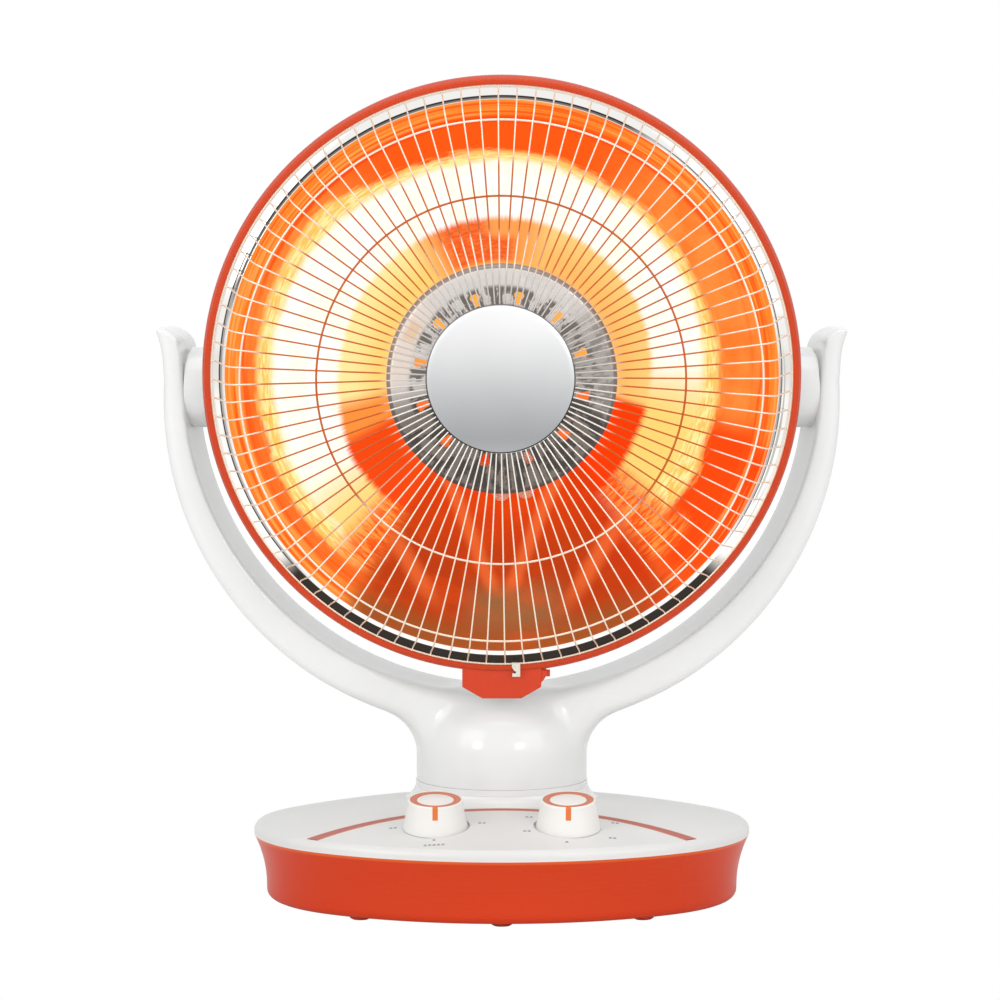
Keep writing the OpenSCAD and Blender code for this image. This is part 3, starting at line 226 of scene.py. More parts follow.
class Polar:
    """Angle and radius about the dish axis, or an axis beside it, and the masks made from them."""

    def __init__(self, recipe, right=0.0, up=0.0):
        self.m = recipe
        x, y, z = recipe.axes()
        self.x, self.z = x - right * MM, z - (HEAD.z + up * MM)
        self.r = (self.x * self.x + self.z * self.z).root() * 1000.0
        self.cos = self.x / (self.r * 0.001 + 0.0001)
        self.sin = self.z / (self.r * 0.001 + 0.0001)

    def sector(self, centre, half, soft):
        """1 within half of centre, both in degrees, counted from the right and upwards."""
        c, s = math.cos(math.radians(centre)), math.sin(math.radians(centre))
        edges = [min(179.9, max(0.0, half + side * soft)) for side in (1, -1)]
        limits = [math.cos(math.radians(edge)) for edge in edges]
        return self.m.step(self.cos * c + self.sin * s, *limits)

    def around(self, stops):
        """A radius that changes with the angle, by (degrees from -180, millimetres) in order."""
        low = min(r for _, r in stops)
        span = max(r for _, r in stops) - low
        turn = self.z.sum("ARCTAN2", self.z, self.x) / math.tau + 0.5
        ramp = [((angle + 180) / 360, ((r - low) / span,) * 3 + (1.0,)) for angle, r in stops]
        return self.m.put("ShaderNodeValToRGB", {"stops": ramp}, {0: turn}) * span + low

    def streaks(self, fineness, length, detail=3.0):
        """Noise drawn out along the radius, as the fine lines of a spun sheet."""
        way = self.m.put("ShaderNodeCombineXYZ", None,
                         {0: self.cos * fineness, 1: self.sin * fineness, 2: self.r / length})
        return self.m.noise(1.0, detail, 0.6, way)

    def patches(self, colour, *rows):
        """Lays (centre, half, soft, share, colour) sectors over a colour, one after another."""
        for centre, half, soft, share, patch in rows:
            mask = self.sector(centre, half, soft)
            colour = self.m.mix(mask if share == 1 else mask * share, colour, patch)
        return colour


def rust_plastic():
    """The skirt's colour, with the paler line where it meets the deck."""
    line_low, line_high = 37.2 * MM, 38.4 * MM
    made = plastic("rust_plastic", tone(203, 56, 8), 0.3, Specular_IOR_Level=0.25)
    z = made.axes()[2]
    cloud = made.noise(6.0, 3)
    low = made.mix(cloud, tone(199, 53, 8), tone(207, 60, 12))
    return made.feed(Base_Color=made.mix(made.step(z, line_low, line_high), low, tone(218, 92, 34)))


class Glow:
    """Spun reflector sheet: a painted reflection of the glowing element, as rings and streaks of painted light
    given off over dark metal.
    """

    def __init__(self):
        self.m = Recipe("glowing_reflector", Metallic=1.0, Emission_Strength=1.0)
        self.p = Polar(self.m)
        self.spikes = self.p.streaks(75.0, 60.0)
        self.hatch = self.p.streaks(13.0, 1.3)
        self.cloud = self.p.streaks(5.0, 14.0)
        self.rings = self.p.streaks(1.6, 1.9, 2.0)
        # radii made ragged, for the outer and the inner edge of the bright band
        self.outer = self.p.r + (self.hatch - 0.5) * 9.0 + (self.cloud - 0.5) * 8.0
        self.inner = self.p.r + (self.spikes - 0.5) * 5.0

    def surround(self):
        """The painted reflection round the bands: orange on the right, redder at the top, upper left and low
        sides.
        """
        m, p, rings = self.m, self.p, self.rings
        colour = m.mix(m.step(self.cloud, 0.35, 0.65), tone(255, 122, 44), tone(255, 140, 60))
        colour = p.patches(colour, (93, 34, 14, 1, tone(252, 88, 18)), (212, 30, 16, 0.6, tone(250, 92, 20)),
                           (328, 19, 4, 1, tone(255, 70, 8)))
        edge = m.step(p.r, 146.5, 149.5)
        colour = m.mix(edge * (1.0 - p.sector(326, 20, 6)), colour, tone(255, 132, 44))
        fine = m.step(rings, 0.5, 0.62) * m.step(p.r, 140, 147)
        colour = m.mix(fine * 0.8, colour, tone(244, 82, 16))
        # painted highlight: paler rings near the outer edge of the field
        painted_shine = m.step(rings, 0.47, 0.38) * edge
        colour = m.mix(painted_shine * 0.6, colour, tone(255, 176, 96))
        red_line = m.band(p.r, 143.4, 146.0, 0.9) * p.sector(97, 60, 30)
        return m.mix(red_line * 0.8, colour, tone(244, 62, 6))

    def bands(self, colour):
        """The painted reflection of the element: the yellow fringe, then the white-hot band, both wider on the
        left.
        """
        m, p, hatch = self.m, self.p, self.hatch
        fringe_out = p.around([(-180, 139.5), (-135, 139), (-45, 124), (0, 124), (30, 122), (60, 123), (90, 126),
                               (120, 128), (136, 138.5), (180, 139.5)])
        fringe = m.step(self.outer - fringe_out, 2.5, -2.5)
        yellow = m.mix(m.step(hatch, 0.42, 0.58), tone(255, 196, 96), tone(255, 236, 160))
        colour = m.mix(fringe, colour, yellow)
        hot_out = p.around([(-180, 131), (-135, 130), (-45, 112), (-30, 112), (-15, 114), (0, 115), (30, 116.5),
                            (60, 118), (90, 120), (120, 122), (135, 126), (150, 129), (165, 131), (180, 131)])
        hot = m.step(self.outer - hot_out, 2.6, -3.2)
        pale = m.mix(m.step(self.cloud, 0.4, 0.6), tone(255, 254, 236), tone(255, 255, 250))
        colour = m.mix(hot, colour, m.mix(p.sector(333, 20, 12), pale, tone(255, 214, 118)))
        colour = m.mix(p.sector(231, 14, 9) * hot, colour, tone(255, 216, 122))
        ends = (p.sector(313, 5, 6) + p.sector(234, 5, 6)).clip() * m.step(p.r, 142, 134)
        hatched = m.mix(m.step(hatch, 0.4, 0.6), tone(250, 84, 18), tone(255, 150, 66))
        return m.mix(ends, colour, hatched)

    def warm_field(self, colour):
        """The painted reflection inside the band: a warm field with red-orange patches."""
        m, p = self.m, self.p
        hot_in = p.around([(-180, 93.7), (-165, 96), (-150, 100), (-135, 100), (-40, 89), (-30, 86.5), (-15, 86),
                           (60, 86), (90, 86.5), (120, 87), (135, 89), (150, 90.5), (165, 91.7), (180, 93.7)])
        field = m.mix(m.step(p.r, 66.0, 90.0), tone(255, 212, 118), tone(255, 234, 160))
        right = m.mix(m.step(p.r, 66.0, 86.0), tone(255, 188, 104), tone(255, 206, 122))
        field = p.patches(field, (18, 60, 22, 1, right), (99, 24, 8, 0.9, tone(255, 152, 72)))
        red = p.sector(106, 9, 5) + p.sector(97, 13, 4) * m.step(p.r, 78.0, 72.0)
        hatched = 0.7 + m.step(self.hatch, 0.4, 0.56) * 0.3
        field = m.mix(red.clip() * hatched, field, tone(240, 92, 36))
        field = p.patches(field, (204, 11, 4, 1, tone(255, 146, 62)), (223, 18, 3, 1, tone(244, 72, 16)),
                          (325, 20, 2, 1, tone(255, 60, 5)))
        # painted reflection behind the shield: redder below, paler above
        behind_shield = m.mix(m.step(p.sin, -0.3, 0.3), tone(255, 118, 50), tone(255, 178, 78))
        field = m.mix(m.step(p.r, 63.0, 58.0), field, behind_shield)
        return m.mix(m.step(self.inner - hot_in, 2.2, -2.6), colour, field)

    def dark_field(self, colour):
        """The darker painted reflection low down, with painted light lines for the tube's ends."""
        m, p = self.m, self.p
        low = p.sector(272.5, 36.5, 4)
        dark = m.mix(m.step(p.r, 70.0, 118.0), tone(226, 62, 10), tone(184, 58, 16))
        dark = m.mix(m.step(p.r, 138.0, 152.0) * 0.8, dark, tone(150, 84, 38))
        brown = p.sector(273, 9, 7) * m.band(p.r, 124, 146, 8)
        dark = m.mix(brown, dark, tone(150, 98, 58))
        dark = m.mix(m.step(p.cos, 0.40, 0.62) * 0.6, dark, tone(216, 48, 4))
        dark = m.mix(m.step(self.cloud, 0.45, 0.7) * 0.35, dark, tone(232, 78, 20))
        colour = m.mix(low, colour, dark)
        across, down = p.x * 1000.0, p.z * -1000.0
        for side in (-1, 1):
            inner_line = across * side + (down - 128.0) * 0.42 - 4.0
            streak = m.band(inner_line, -4, 4, 3) * m.band(p.r, 70, 126, 6)
            outer_line = across * side + (down - 140.0) * 0.62 - 34.0
            streak = streak + m.band(outer_line, -5, 5, 4) * m.band(p.r, 100, 136, 10)
            colour = m.mix((streak * low).clip() * 0.6, colour, tone(244, 112, 54))
        return colour

    def rim(self):
        """The flange and the bead, without the element's glow: white given off as painted light, a painted dark
        reflection low down, fine painted shade lines at the bead and fine grey ring lines on the lower right.
        """
        m, p = self.m, self.p
        shade = m.step(p.r, 159.3, 159.8) * m.step(p.sin, -0.61, -0.70)
        flange = m.mix(shade, tone(250, 248, 244), tone(54, 48, 44))
        for centre, half, low_r, high_r, line in (
                (112, 53, 157.3, 158.2, tone(120, 115, 110)), (112, 53, 158.2, 159.2, tone(52, 47, 45)),
                (188, 37, 158.6, 159.6, tone(176, 172, 168)), (188, 37, 159.6, 160.4, tone(70, 66, 62)),
                (10, 46, 158.4, 159.0, tone(84, 78, 72))):
            flange = m.mix(p.sector(centre, half, 6) * m.band(p.r, low_r, high_r, 0.15), flange, line)
        spun = m.step(self.rings, 0.5, 0.6) * p.sector(345, 16, 8)
        return m.mix(spun * 0.7, flange, tone(150, 148, 144))

    def finish(self):
        """All of it together, as light given off over darker metal."""
        m, p = self.m, self.p
        colour = self.dark_field(self.warm_field(self.bands(self.surround())))
        flange = self.rim()
        sheet = m.step(p.r, 157.2, 156.8)
        # the flange's painted light is dimmed more higher up than low down
        flange_light_dim = m.step(p.sin, -0.5, -0.1) * 0.24 + 0.12
        m.feed(Base_Color=m.mix(sheet, m.mix(0.7, flange, BLACK), m.mix(0.85, colour, tone(40, 26, 18))),
               Emission_Color=m.mix(sheet, m.mix(flange_light_dim, flange, BLACK), colour),
               Roughness=0.08 + sheet * 0.33)
        return m.bump(self.hatch, 0.00003, 0.2)


# ---------- mesh helpers ----------

def on_arc(x, y, wide, high, degrees):
    """A point of an ellipse, or of a circle where wide and high are the same."""
    return (x + wide * math.cos(math.radians(degrees)), y + high * math.sin(math.radians(degrees)))


def joined_mesh(name, verts, faces, checked=False):
    """A mesh with doubled points joined and all faces turned outwards."""
    mesh = bpy.data.meshes.new(name)
    mesh.from_pydata([tuple(v) for v in verts], [], faces)
    if checked:
        mesh.validate()
    bm = bmesh.new()
    bm.from_mesh(mesh)
    bmesh.ops.remove_doubles(bm, verts=bm.verts, dist=1e-7)
    bmesh.ops.recalc_face_normals(bm, faces=bm.faces)
    bm.to_mesh(mesh)
    bm.free()
    return mesh


def piece(name, verts, faces, material, body, replaced=(), slot=None, sharp=38):
    """A finished piece from its points and faces."""
    obj = new_object(name, joined_mesh(name, verts, faces, True))
    return settle(obj, material, body, replaced, slot, sharp)


def settle(obj, material, body, replaced=(), slot=None, sharp=38):
    """Gives a made object its finish and its body, and lets it stand for its CAD nodes."""
    smooth(obj.data, sharp)
    obj.data.materials.clear()
    obj.data.materials.append(material.material)
    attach(obj, body)
    if replaced:
        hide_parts(*replaced)
    return obj


def smooth(mesh, sharp):
    """Soft shading, with edges kept where faces meet at more than sharp degrees."""
    mesh.shade_smooth()
    mesh.set_sharp_from_angle(angle=math.radians(sharp))


def rounded(corners, arc=6):
    """A closed outline of (x, y, radius) corners, each turned into an arc of arc + 1 points."""
    out = []
    count = len(corners)
    for i, (x, y, radius) in enumerate(corners):
        here = Vector((x, y))
        before = Vector(corners[i - 1][:2]) - here
        after = Vector(corners[(i + 1) % count][:2]) - here
        half = before.angle(after) / 2
        reach = min(radius / math.tan(half), before.length * 0.49, after.length * 0.49)
        size = reach * math.tan(half)
        start, end = here + before.normalized() * reach, here + after.normalized() * reach
        centre = here + (before.normalized() + after.normalized()).normalized() * (size / math.sin(half))
        a, b = start - centre, end - centre
        for k in range(arc + 1):
            t = k / arc
            if a.length < 1e-9:
                out.append(tuple(here))
                continue
            span = a.angle(b)
            if span < 1e-6:
                out.append(tuple(start.lerp(end, t)))
            else:
                v = (a * math.sin((1 - t) * span) + b * math.sin(t * span)) / math.sin(span)
                out.append(tuple(centre + v))
    return out


def skin(rows, columns, ring=False):
    """Faces between closed rows of points; in a ring the last row joins the first."""
    return [(i * columns + k, i * columns + (k + 1) % columns,
             (i + 1) % rows * columns + (k + 1) % columns, (i + 1) % rows * columns + k)
            for i in range(rows if ring else rows - 1) for k in range(columns)]


def caps(rows, columns):
    """The two end faces of such a skin that isn't a ring."""
    return [tuple(range(columns))[::-1], tuple((rows - 1) * columns + k for k in range(columns))]


def about_dish(r, angle, h):
    """A point round the dish axis, h in front of the hoop's widest plane."""
    return (HEAD.x + r * math.cos(angle), HEAD.y - h, HEAD.z + r * math.sin(angle))


def lathe(profile, steps, place):
    """Vertices and faces of a closed profile of (r, h) in millimetres, turned all round."""
    verts = [place(r * MM, math.tau * k / steps, h * MM) for k in range(steps) for r, h in profile]
    return verts, skin(steps, len(profile), True)


def tube(path, radius, sides, closed=False):
    """A round bar along a path of points, its ends capped unless it is closed."""
    path = [Vector(p) for p in path]
    count = len(path)
    verts, normal = [], None
    for i, p in enumerate(path):
        if closed:
            way = path[(i + 1) % count] - path[i - 1]
        else:
            way = path[min(i + 1, count - 1)] - path[max(i - 1, 0)]
        way.normalize()
        if normal is None:
            normal = way.orthogonal().normalized()
        normal = (normal - way * normal.dot(way)).normalized()
        other = way.cross(normal)
        for k in range(sides):
            a = math.tau * k / sides
            verts.append(p + (normal * math.cos(a) + other * math.sin(a)) * radius)
    return verts, skin(count, sides, closed) + ([] if closed else caps(count, sides))


def gather(parts):
    """Several (points, faces) pairs as one."""
    verts, faces = [], []
    for v, f in parts:
        base = len(verts)
        verts += list(v)
        faces += [tuple(base + i for i in face) for face in f]
    return verts, faces


def remodel(obj, *settings):
    """Adds each (type, values) modifier to obj and applies them all, in order."""
    for kind, values in settings:
        modifier = obj.modifiers.new(kind.lower(), kind)
        for key, value in values.items():
            setattr(modifier, key, value)
    bpy.context.view_layer.update()
    evaluated = obj.evaluated_get(bpy.context.evaluated_depsgraph_get())
    mesh = bpy.data.meshes.new_from_object(evaluated)
    obj.modifiers.clear()
    old = obj.data
    obj.data = mesh
    bpy.data.meshes.remove(old)
    return obj


def loose(name, verts, faces):
    """A form that modifiers still shape, or that cuts another and is then dropped."""
    return new_object(name, joined_mesh(name, verts, faces))


def cut(obj, operation, other):
    """Cuts obj with other, or joins them, by an exact boolean."""
    return remodel(obj, ("BOOLEAN", {"operation": operation, "object": other, "solver": "EXACT"}))


def bevel(width, segments):
    """The modifier that rounds all edges of more than 40 degrees."""
    return ("BEVEL", {"width": width * MM, "segments": segments, "limit_method": "ANGLE",
                      "angle_limit": math.radians(40)})


def drop(*objs):
    """Takes used-up forms out of the scene."""
    for o in objs:
        bpy.data.objects.remove(o, do_unlink=True)


# ---------- finishes ----------

white = plastic("white_plastic", tone(236, 237, 236), 0.14, 0.000003)
deck_white = plastic("deck_plastic", tone(221, 221, 219), 0.3)
orange = plastic("orange_plastic", tone(203, 68, 34), 0.42, Specular_IOR_Level=0.15)
block_orange = plastic("block_plastic", tone(216, 72, 44), 0.42, Specular_IOR_Level=0.15)
rust = rust_plastic()
knob_white = plastic("knob_plastic", tone(238, 236, 232), 0.34)
ring_paint = plastic("ring_plastic", tone(200, 125, 100), 0.5)
pointer_paint = plastic("pointer_plastic", tone(225, 115, 45), 0.5)
dark_plastic = plastic("dark_plastic", tone(34, 34, 36), 0.45)
mark_paint = plastic("scale_mark_paint", tone(120, 120, 122), 0.6)
cream = plastic("tab_plastic", tone(232, 226, 214), 0.4)
nylon = plastic("nylon", tone(226, 220, 205), 0.5)
rubber = plastic("foot_rubber", tone(236, 92, 52), 0.7, 0.00004)
ceramic = plastic("ceramic", tone(226, 220, 206), 0.35)
plated = metal("plated_steel", tone(200, 200, 204), 0.3)
cast = metal("cast_weight", tone(70, 70, 74), 0.6, 0.2, 90.0)
chrome = metal("bright_plate", tone(214, 210, 206), 0.16, 0.04)


def guard_finish():
    """Bright wire with painted light: the warm colour of the glow behind it, darker on the upper half near the
    middle, and part of its colour given off as light.
    """
    m = Recipe("guard_wire", Metallic=0.6, Emission_Strength=1.0)
    p = Polar(m)
    cloud = m.noise(40.0, 2)
    warm_out = 126 + p.sector(190, 45, 30) * 12.0
    warm = m.band(p.r, 66, warm_out, 5, 5) * (1.0 - p.sector(270, 46, 8))
    warm = warm * (1.0 - p.sector(97, 20, 8) * m.step(p.r, 88, 80))
    # painted shade: the wires near the middle darker on the upper half
    middle = m.mix(m.step(p.sin, -0.25, 0.15), tone(222, 218, 212), tone(184, 179, 175))
    steel = m.mix(m.step(p.r, 60.0, 68.0), middle, tone(230, 212, 192))
    colour = m.mix(warm, steel, m.mix(cloud, tone(164, 76, 24), tone(180, 90, 36)))
    return m.feed(Base_Color=colour, Roughness=0.3 + cloud * 0.1,
                  Emission_Color=m.mix(0.9 - warm * 0.18, colour, BLACK))


guard = guard_finish()


def disc_finish():
    """Polished steel with a painted reflection of a light sky above and a darker room below, part of it given
    off as light, and painted shade round its edge.
    """
    m = Recipe("polished_disc", Metallic=1.0, Emission_Strength=1.0)
    p = Polar(m, *DISC_SHIFT)
    cloud = m.noise(14.0, 2)
    # painted reflection: light sky above, darker room below
    up = m.step(p.z + (cloud - 0.5) * 0.012, -0.046, 0.046)
    colour = m.mix(up, tone(156, 158, 160), tone(243, 243, 243))
    colour = m.mix(m.step(p.z, -0.032, -0.043) * 0.35, colour, tone(196, 198, 200))
    # painted shade round the edge, darker low down
    rim = m.mix(m.step(p.z, -0.02, 0.03), tone(40, 40, 42), tone(120, 120, 122))
    colour = m.mix(m.step(p.r, 41.2, 41.6), colour, rim)
    m.feed(Base_Color=m.mix(0.5, colour, BLACK), Roughness=0.3 + cloud * 0.08,
           Emission_Color=m.mix(0.45, colour, BLACK))
    return m.bump(m.noise(700.0), 0.000004, 0.3)


def shield_finish():
    """Thin bright sheet, crumpled, with painted light and shade: lighter above, darker below and on the right,
    darker patches over the crumples near the middle, on the right and low down, pale painted highlights on the
    upper left, a dark painted shade on the turned-back edge, and part of it given off as light.
    """
    m = Recipe("crumpled_sheet_painted_light", Metallic=1.0, Emission_Strength=1.0)
    p = Polar(m)
    crumple = m.noise(120.0, 5, 0.65)
    fan = p.streaks(14.0, 30.0, 4.0)
    # painted light and shade: the sheet lighter above and darker below
    light = m.step(p.sin, -0.42, 0.05)
    plain = m.mix(light, tone(128, 121, 113), tone(222, 217, 213))
    # painted shade on the right
    plain = m.mix(p.sector(0, 34, 16) * light, plain, tone(178, 172, 166))
    dark = m.mix(light, tone(80, 76, 72), tone(122, 117, 113))
    facets = m.step(crumple * 0.5 + fan * 0.5, 0.53, 0.47)
    inner_zone = m.step(p.r, 54.5, 51.5)
    rough_zone = (inner_zone + p.sector(-8, 42, 10) * 0.6 + m.step(p.sin, -0.3, -0.5)).clip()
    colour = m.mix(facets * rough_zone, plain, dark)
    # painted highlights: pale patches on the upper left
    colour = m.mix(p.sector(160, 22, 9) * m.step(p.r, 51, 53) * 0.8, colour, tone(242, 226, 212))
    colour = m.mix(p.sector(152, 6, 3) * m.band(p.r, 54, 60.5, 1) * 0.8, colour, tone(240, 200, 156))
    # painted shade on the turned-back edge, lighter above
    edge = m.step(p.r, 62.6, 63.2)
    colour = m.mix(edge * 0.85, colour, m.mix(light, tone(92, 88, 86), tone(128, 122, 118)))
    m.feed(Base_Color=m.mix(0.5, colour, BLACK), Roughness=0.28 + crumple * 0.2,
           Emission_Color=m.mix(0.5, colour, BLACK))
    return m.bump(crumple, 0.0006, 0.5)


def glass():
    """Clear quartz, warm from the glow behind it."""
    m = Recipe("clear_quartz", Roughness=0.06, IOR=1.45, Metallic=0.0, Alpha=0.38)
    cloud = m.noise(60.0, 2)
    m.feed(Base_Color=m.mix(cloud, tone(240, 196, 160), tone(252, 226, 206)), Roughness=0.05 + cloud * 0.05)
    return m.bump(cloud, 0.00002, 0.3)


def inlay_finish():
    """The rose of the deck's strip, with a thin orange line along both curved edges."""
    m = plastic("inlay_plastic", tone(176, 96, 84), 0.5)
    x, y, _ = m.axes()
    line = 0.0
    for (centre, radius), inwards in zip(INLAY_ARCS, (-1.0, 1.0)):
        out = y - centre * MM
        depth = ((x * x + out * out).root() * 1000.0 - radius) * inwards
        line = line + m.step(depth, 0.8, 0.5)
    return m.feed(Base_Color=m.mix(line.clip(), tone(176, 96, 84), tone(206, 120, 84)))


quartz = glass()
coil_finish = metal("heating_wire", tone(250, 150, 70), 0.5, 0.2, 120.0)
coil_finish.feed(Emission_Color=tone(255, 140, 50), Emission_Strength=0.7)

FINISH = {
    "white_plastic": white, "orange_plastic": orange, "rust_plastic": rust, "inlay_plastic": inlay_finish(),
    "knob_plastic": knob_white, "ring_plastic": ring_paint, "dark_plastic": dark_plastic, "nylon": nylon,
    "steel": plated, "iron": cast, "chrome": chrome, "disc_steel": disc_finish(), "dish_aluminium": chrome,
    "shield_steel": shield_finish(), "quartz": quartz, "coil": coil_finish, "ceramic": ceramic,
    "foot_rubber": rubber,
}
OWN_FINISH = {"base_deck": deck_white, "hoop_screw": block_orange}
for part in frame["record"]["subparts"]:
    node = NODES[part["node"]]
    finish = OWN_FINISH.get(part["node"], FINISH[part["material_slot"]])
    node.data.materials.clear()
    node.data.materials.append(finish.material)
    smooth(node.data, 32)


# ---------- head ----------

def no_colour_cast(obj):
    """Keeps a coloured piece from tinting the white ones near it."""
    obj.visible_diffuse = False


def hoop():
    """The orange hoop round the dish, with a lip at the front that holds the flange."""
    outline = rounded([
        (163.0, -12, 0.8), (169.3, -12, 2.0), (169.98, -6, 8.0), (169.98, 1.5, 9.0), (168.3, 9.0, 1.6),
        (165.25, 9.0, 0.5), (165.25, 7.05, 0.2), (167.6, 7.05, 0.2), (167.6, -9.6, 1.0), (163.0, -9.6, 0.8),
    ], 5)
    no_colour_cast(piece("hoop_shell", *lathe(outline, 288, about_dish), orange, "head", ["hoop"],
                         "orange_plastic"))


def dish():
    """The parabolic sheet with its rolled bead and flat flange."""
    mouth, depth, hole, sheet, bead_r = 156.8, 68.0, 14.0, 1.4, 1.5
    front = [(r, 7.0 - depth * (1 - (r / mouth) ** 2)) for r in np.linspace(hole, mouth - 1.2, 64)]
    bead = [on_arc(mouth, 7.3, bead_r, bead_r, a) for a in np.linspace(205, 0, 12)]
    back = [(r, h - sheet) for r, h in reversed(front)]
    flange = [(mouth + 2.0, 7.0), (167.2, 7.0), (167.4, 6.8), (167.4, 5.9), (mouth + bead_r, 5.8)]
    outline = front + bead + flange + back
    no_colour_cast(piece("reflector_dish", *lathe(outline, 288, about_dish), Glow().finish(), "head",
                         ["reflector"], "dish_aluminium", 50))


def off_axis(r, angle, h, share=1.0):
    """A point of the disc, or with a share of its shift off the dish axis."""
    return Vector(about_dish(r, angle, h)) + Vector((DISC_SHIFT[0], 0, DISC_SHIFT[1])) * MM * share


def guard_point(r, angle, h):
    """A point of the guard, which follows the disc near the middle and the hoop at the rim."""
    return off_axis(r, angle, h, np.interp(r / MM, [42, 103.5, 147, 164], [1.0, 0.5, 0.25, 0.0]))


def guard_path(angle):
    """One wire of the guard: flat from under the disc, bent back, and hooked over the rim wire."""
    sin_a, cos_a, bend, flat, bend_x = 0.28, 0.96, 9.0, 46.3, 146.6
    rim_r, rim_h, hook_h = 164.6, 7.9, 8.6
    points = [(r, flat) for r in np.linspace(35.8, bend_x, 7)]
    turns = np.linspace(90, math.degrees(math.asin(sin_a)), 8)[1:]
    points += [on_arc(bend_x, flat - bend, bend, bend, a) for a in turns]
    last = points[-1]
    fall = last[1] - hook_h
    points += [(last[0] + fall * sin_a / cos_a * t - 1.6 * t, last[1] - fall * t) for t in (0.5, 0.94)]
    points += [on_arc(rim_r, rim_h, 1.0, 1.0, a) for a in (165, 135, 105, 75)]
    return [guard_point(r * MM, angle, h * MM) for r, h in points]


def wires():
    """The guard's bent wires, its two cross rings and its rim wire."""
    count, first, wire_r = 96, 0.18, 0.45
    parts = [tube(guard_path(math.tau * (i + first) / count), wire_r * MM, 8) for i in range(count)]
    piece("guard_spokes", *gather(parts), guard, "head", ["grille_spokes"], "chrome", 60)
    for name, node, r, d, h in (("guard_middle_ring", "grille_mid_ring", 103.9, 1.2, 45.25),
                                ("guard_outer_ring", "grille_outer_ring", 147.2, 1.2, 45.25),
                                ("guard_rim_wire", "grille_rim_wire", 164.6, 1.1, 7.9)):
        ring = [guard_point(r * MM, math.tau * k / 240, h * MM) for k in range(240)]
        piece(name, *tube(ring, d / 2 * MM, 12, True), guard, "head", [node], "chrome", 60)


def disc():
    """The crowned disc over the middle of the guard."""
    seat, crown, fall, radius = 46.9, 2.2, 1.3, 41.8
    top = [(r, seat + crown - fall * (r / radius) ** 2) for r in np.linspace(AXIS_R, 41.3, 16)]
    outline = top + [(41.9, 47.6), (42.1, 47.2), (41.9, 46.92), (AXIS_R, 46.92)]
    piece("guard_disc", *lathe(outline, 192, off_axis), FINISH["disc_steel"], "head", ["grille_disc"],
          "disc_steel")


def shield_height(r, a):
    """Height of the shield's front: a slight cone that rolls over at its edge, a little crumpled."""
    roll_r = 62.6
    h = 28.0 - 1.2 * max(0.0, (r - 20) / 45) - (2.2 * ((r - roll_r) / 2.6) ** 2 if r > roll_r else 0.0)
    spot = Vector((r * math.cos(a) * 0.09, r * math.sin(a) * 0.09, 3.7))
    return h + 0.45 * noise.noise(spot) + 0.25 * noise.noise(spot * 2.7)


def louvre(angle):
    """The form that cuts one tulip-shaped hole of the shield."""
    outline = rounded([(43.2, -1.6, 0.5), (43.2, 1.6, 0.5), (46.0, 1.9, 2.0), (48.6, 3.1, 1.0), (50.4, 2.0, 0.8),
                       (50.4, -2.0, 0.8), (48.6, -3.1, 1.0), (46.0, -1.9, 2.0)], 3)
    verts = [about_dish(math.hypot(x, y) * MM, angle + math.atan2(y, x), h * MM)
             for h in (20.0, 34.0) for x, y in outline]
    return verts, skin(2, len(outline)) + caps(2, len(outline))


def shield():
    """The round sheet in front of the element, with its turned-back edge and louvres."""
    edge_r, steps, count, first = 65.2, 240, 12, 18.3
    rings = list(np.linspace(6, 61.5, 30)) + [62.6, 63.6, 64.4, 65.0, edge_r]
    rows = [(r, 0.0) for r in rings] + [(edge_r, -4.0), (64.3, -4.0)]
    rows += [(r - 0.4 if r > 62 else r, -0.9) for r in reversed(rings)]
    verts = []
    for r, below in rows:
        for k in range(steps):
            a = math.tau * k / steps
            verts.append(about_dish(r * MM, a, (shield_height(min(r, edge_r), a) + below) * MM))
    plate = loose("shield_sheet", verts, skin(len(rows), steps, True))
    holes = [louvre(math.radians(first + 360 / count * i)) for i in range(count)]
    cutter = loose("louvre_cutters", *gather(holes))
    cut(plate, "DIFFERENCE", cutter)
    drop(cutter)
    settle(plate, FINISH["shield_steel"], "head", ["shield"], "shield_steel", 60)


def prism(outline, y0, y1):
    """An outline of (x, z from the dish axis) in millimetres, drawn out from depth y0 to y1."""
    verts = [(x * MM, y * MM, HEAD.z + z * MM) for y in (y0, y1) for x, z in outline]
    return verts, skin(2, len(outline)) + caps(2, len(outline))


def block():
    """The joint block under the hoop, with a lug on the right and three fine grooves down its face."""
    half, flat, top_r, groove = 22.5, 11.0, 168.4, 0.15
    top = [(x, -math.sqrt(top_r ** 2 - x * x)) for x in np.linspace(-half, half, 17)]
    below = [(half, -178.0), (flat, -184.6), (-flat, -184.6), (-half, -178.0)]
    body = loose("hoop_joint_block", *prism(top + below, -27.0, -16.0))
    lug = [(21.0, -176.5), (23.6, -174.5), (25.6, -171.5), (25.6, -168.5), (21.0, -168.5)]
    extra = loose("block_lug", *prism(lug, -26.0, -18.0))
    remodel(body, ("BOOLEAN", {"operation": "UNION", "object": extra, "solver": "EXACT"}), bevel(0.5, 3))
    grooves = [prism([(x - groove, -190), (x + groove, -190), (x + groove, -171), (x - groove, -171)],
                     -28.0, -26.85) for x in (-6.6, 0.0, 6.6)]
    cutter = loose("groove_cutters", *gather(grooves))
    cut(body, "DIFFERENCE", cutter)
    drop(cutter, extra)
    no_colour_cast(settle(body, block_orange, "head", ["hoop_block"], "orange_plastic"))


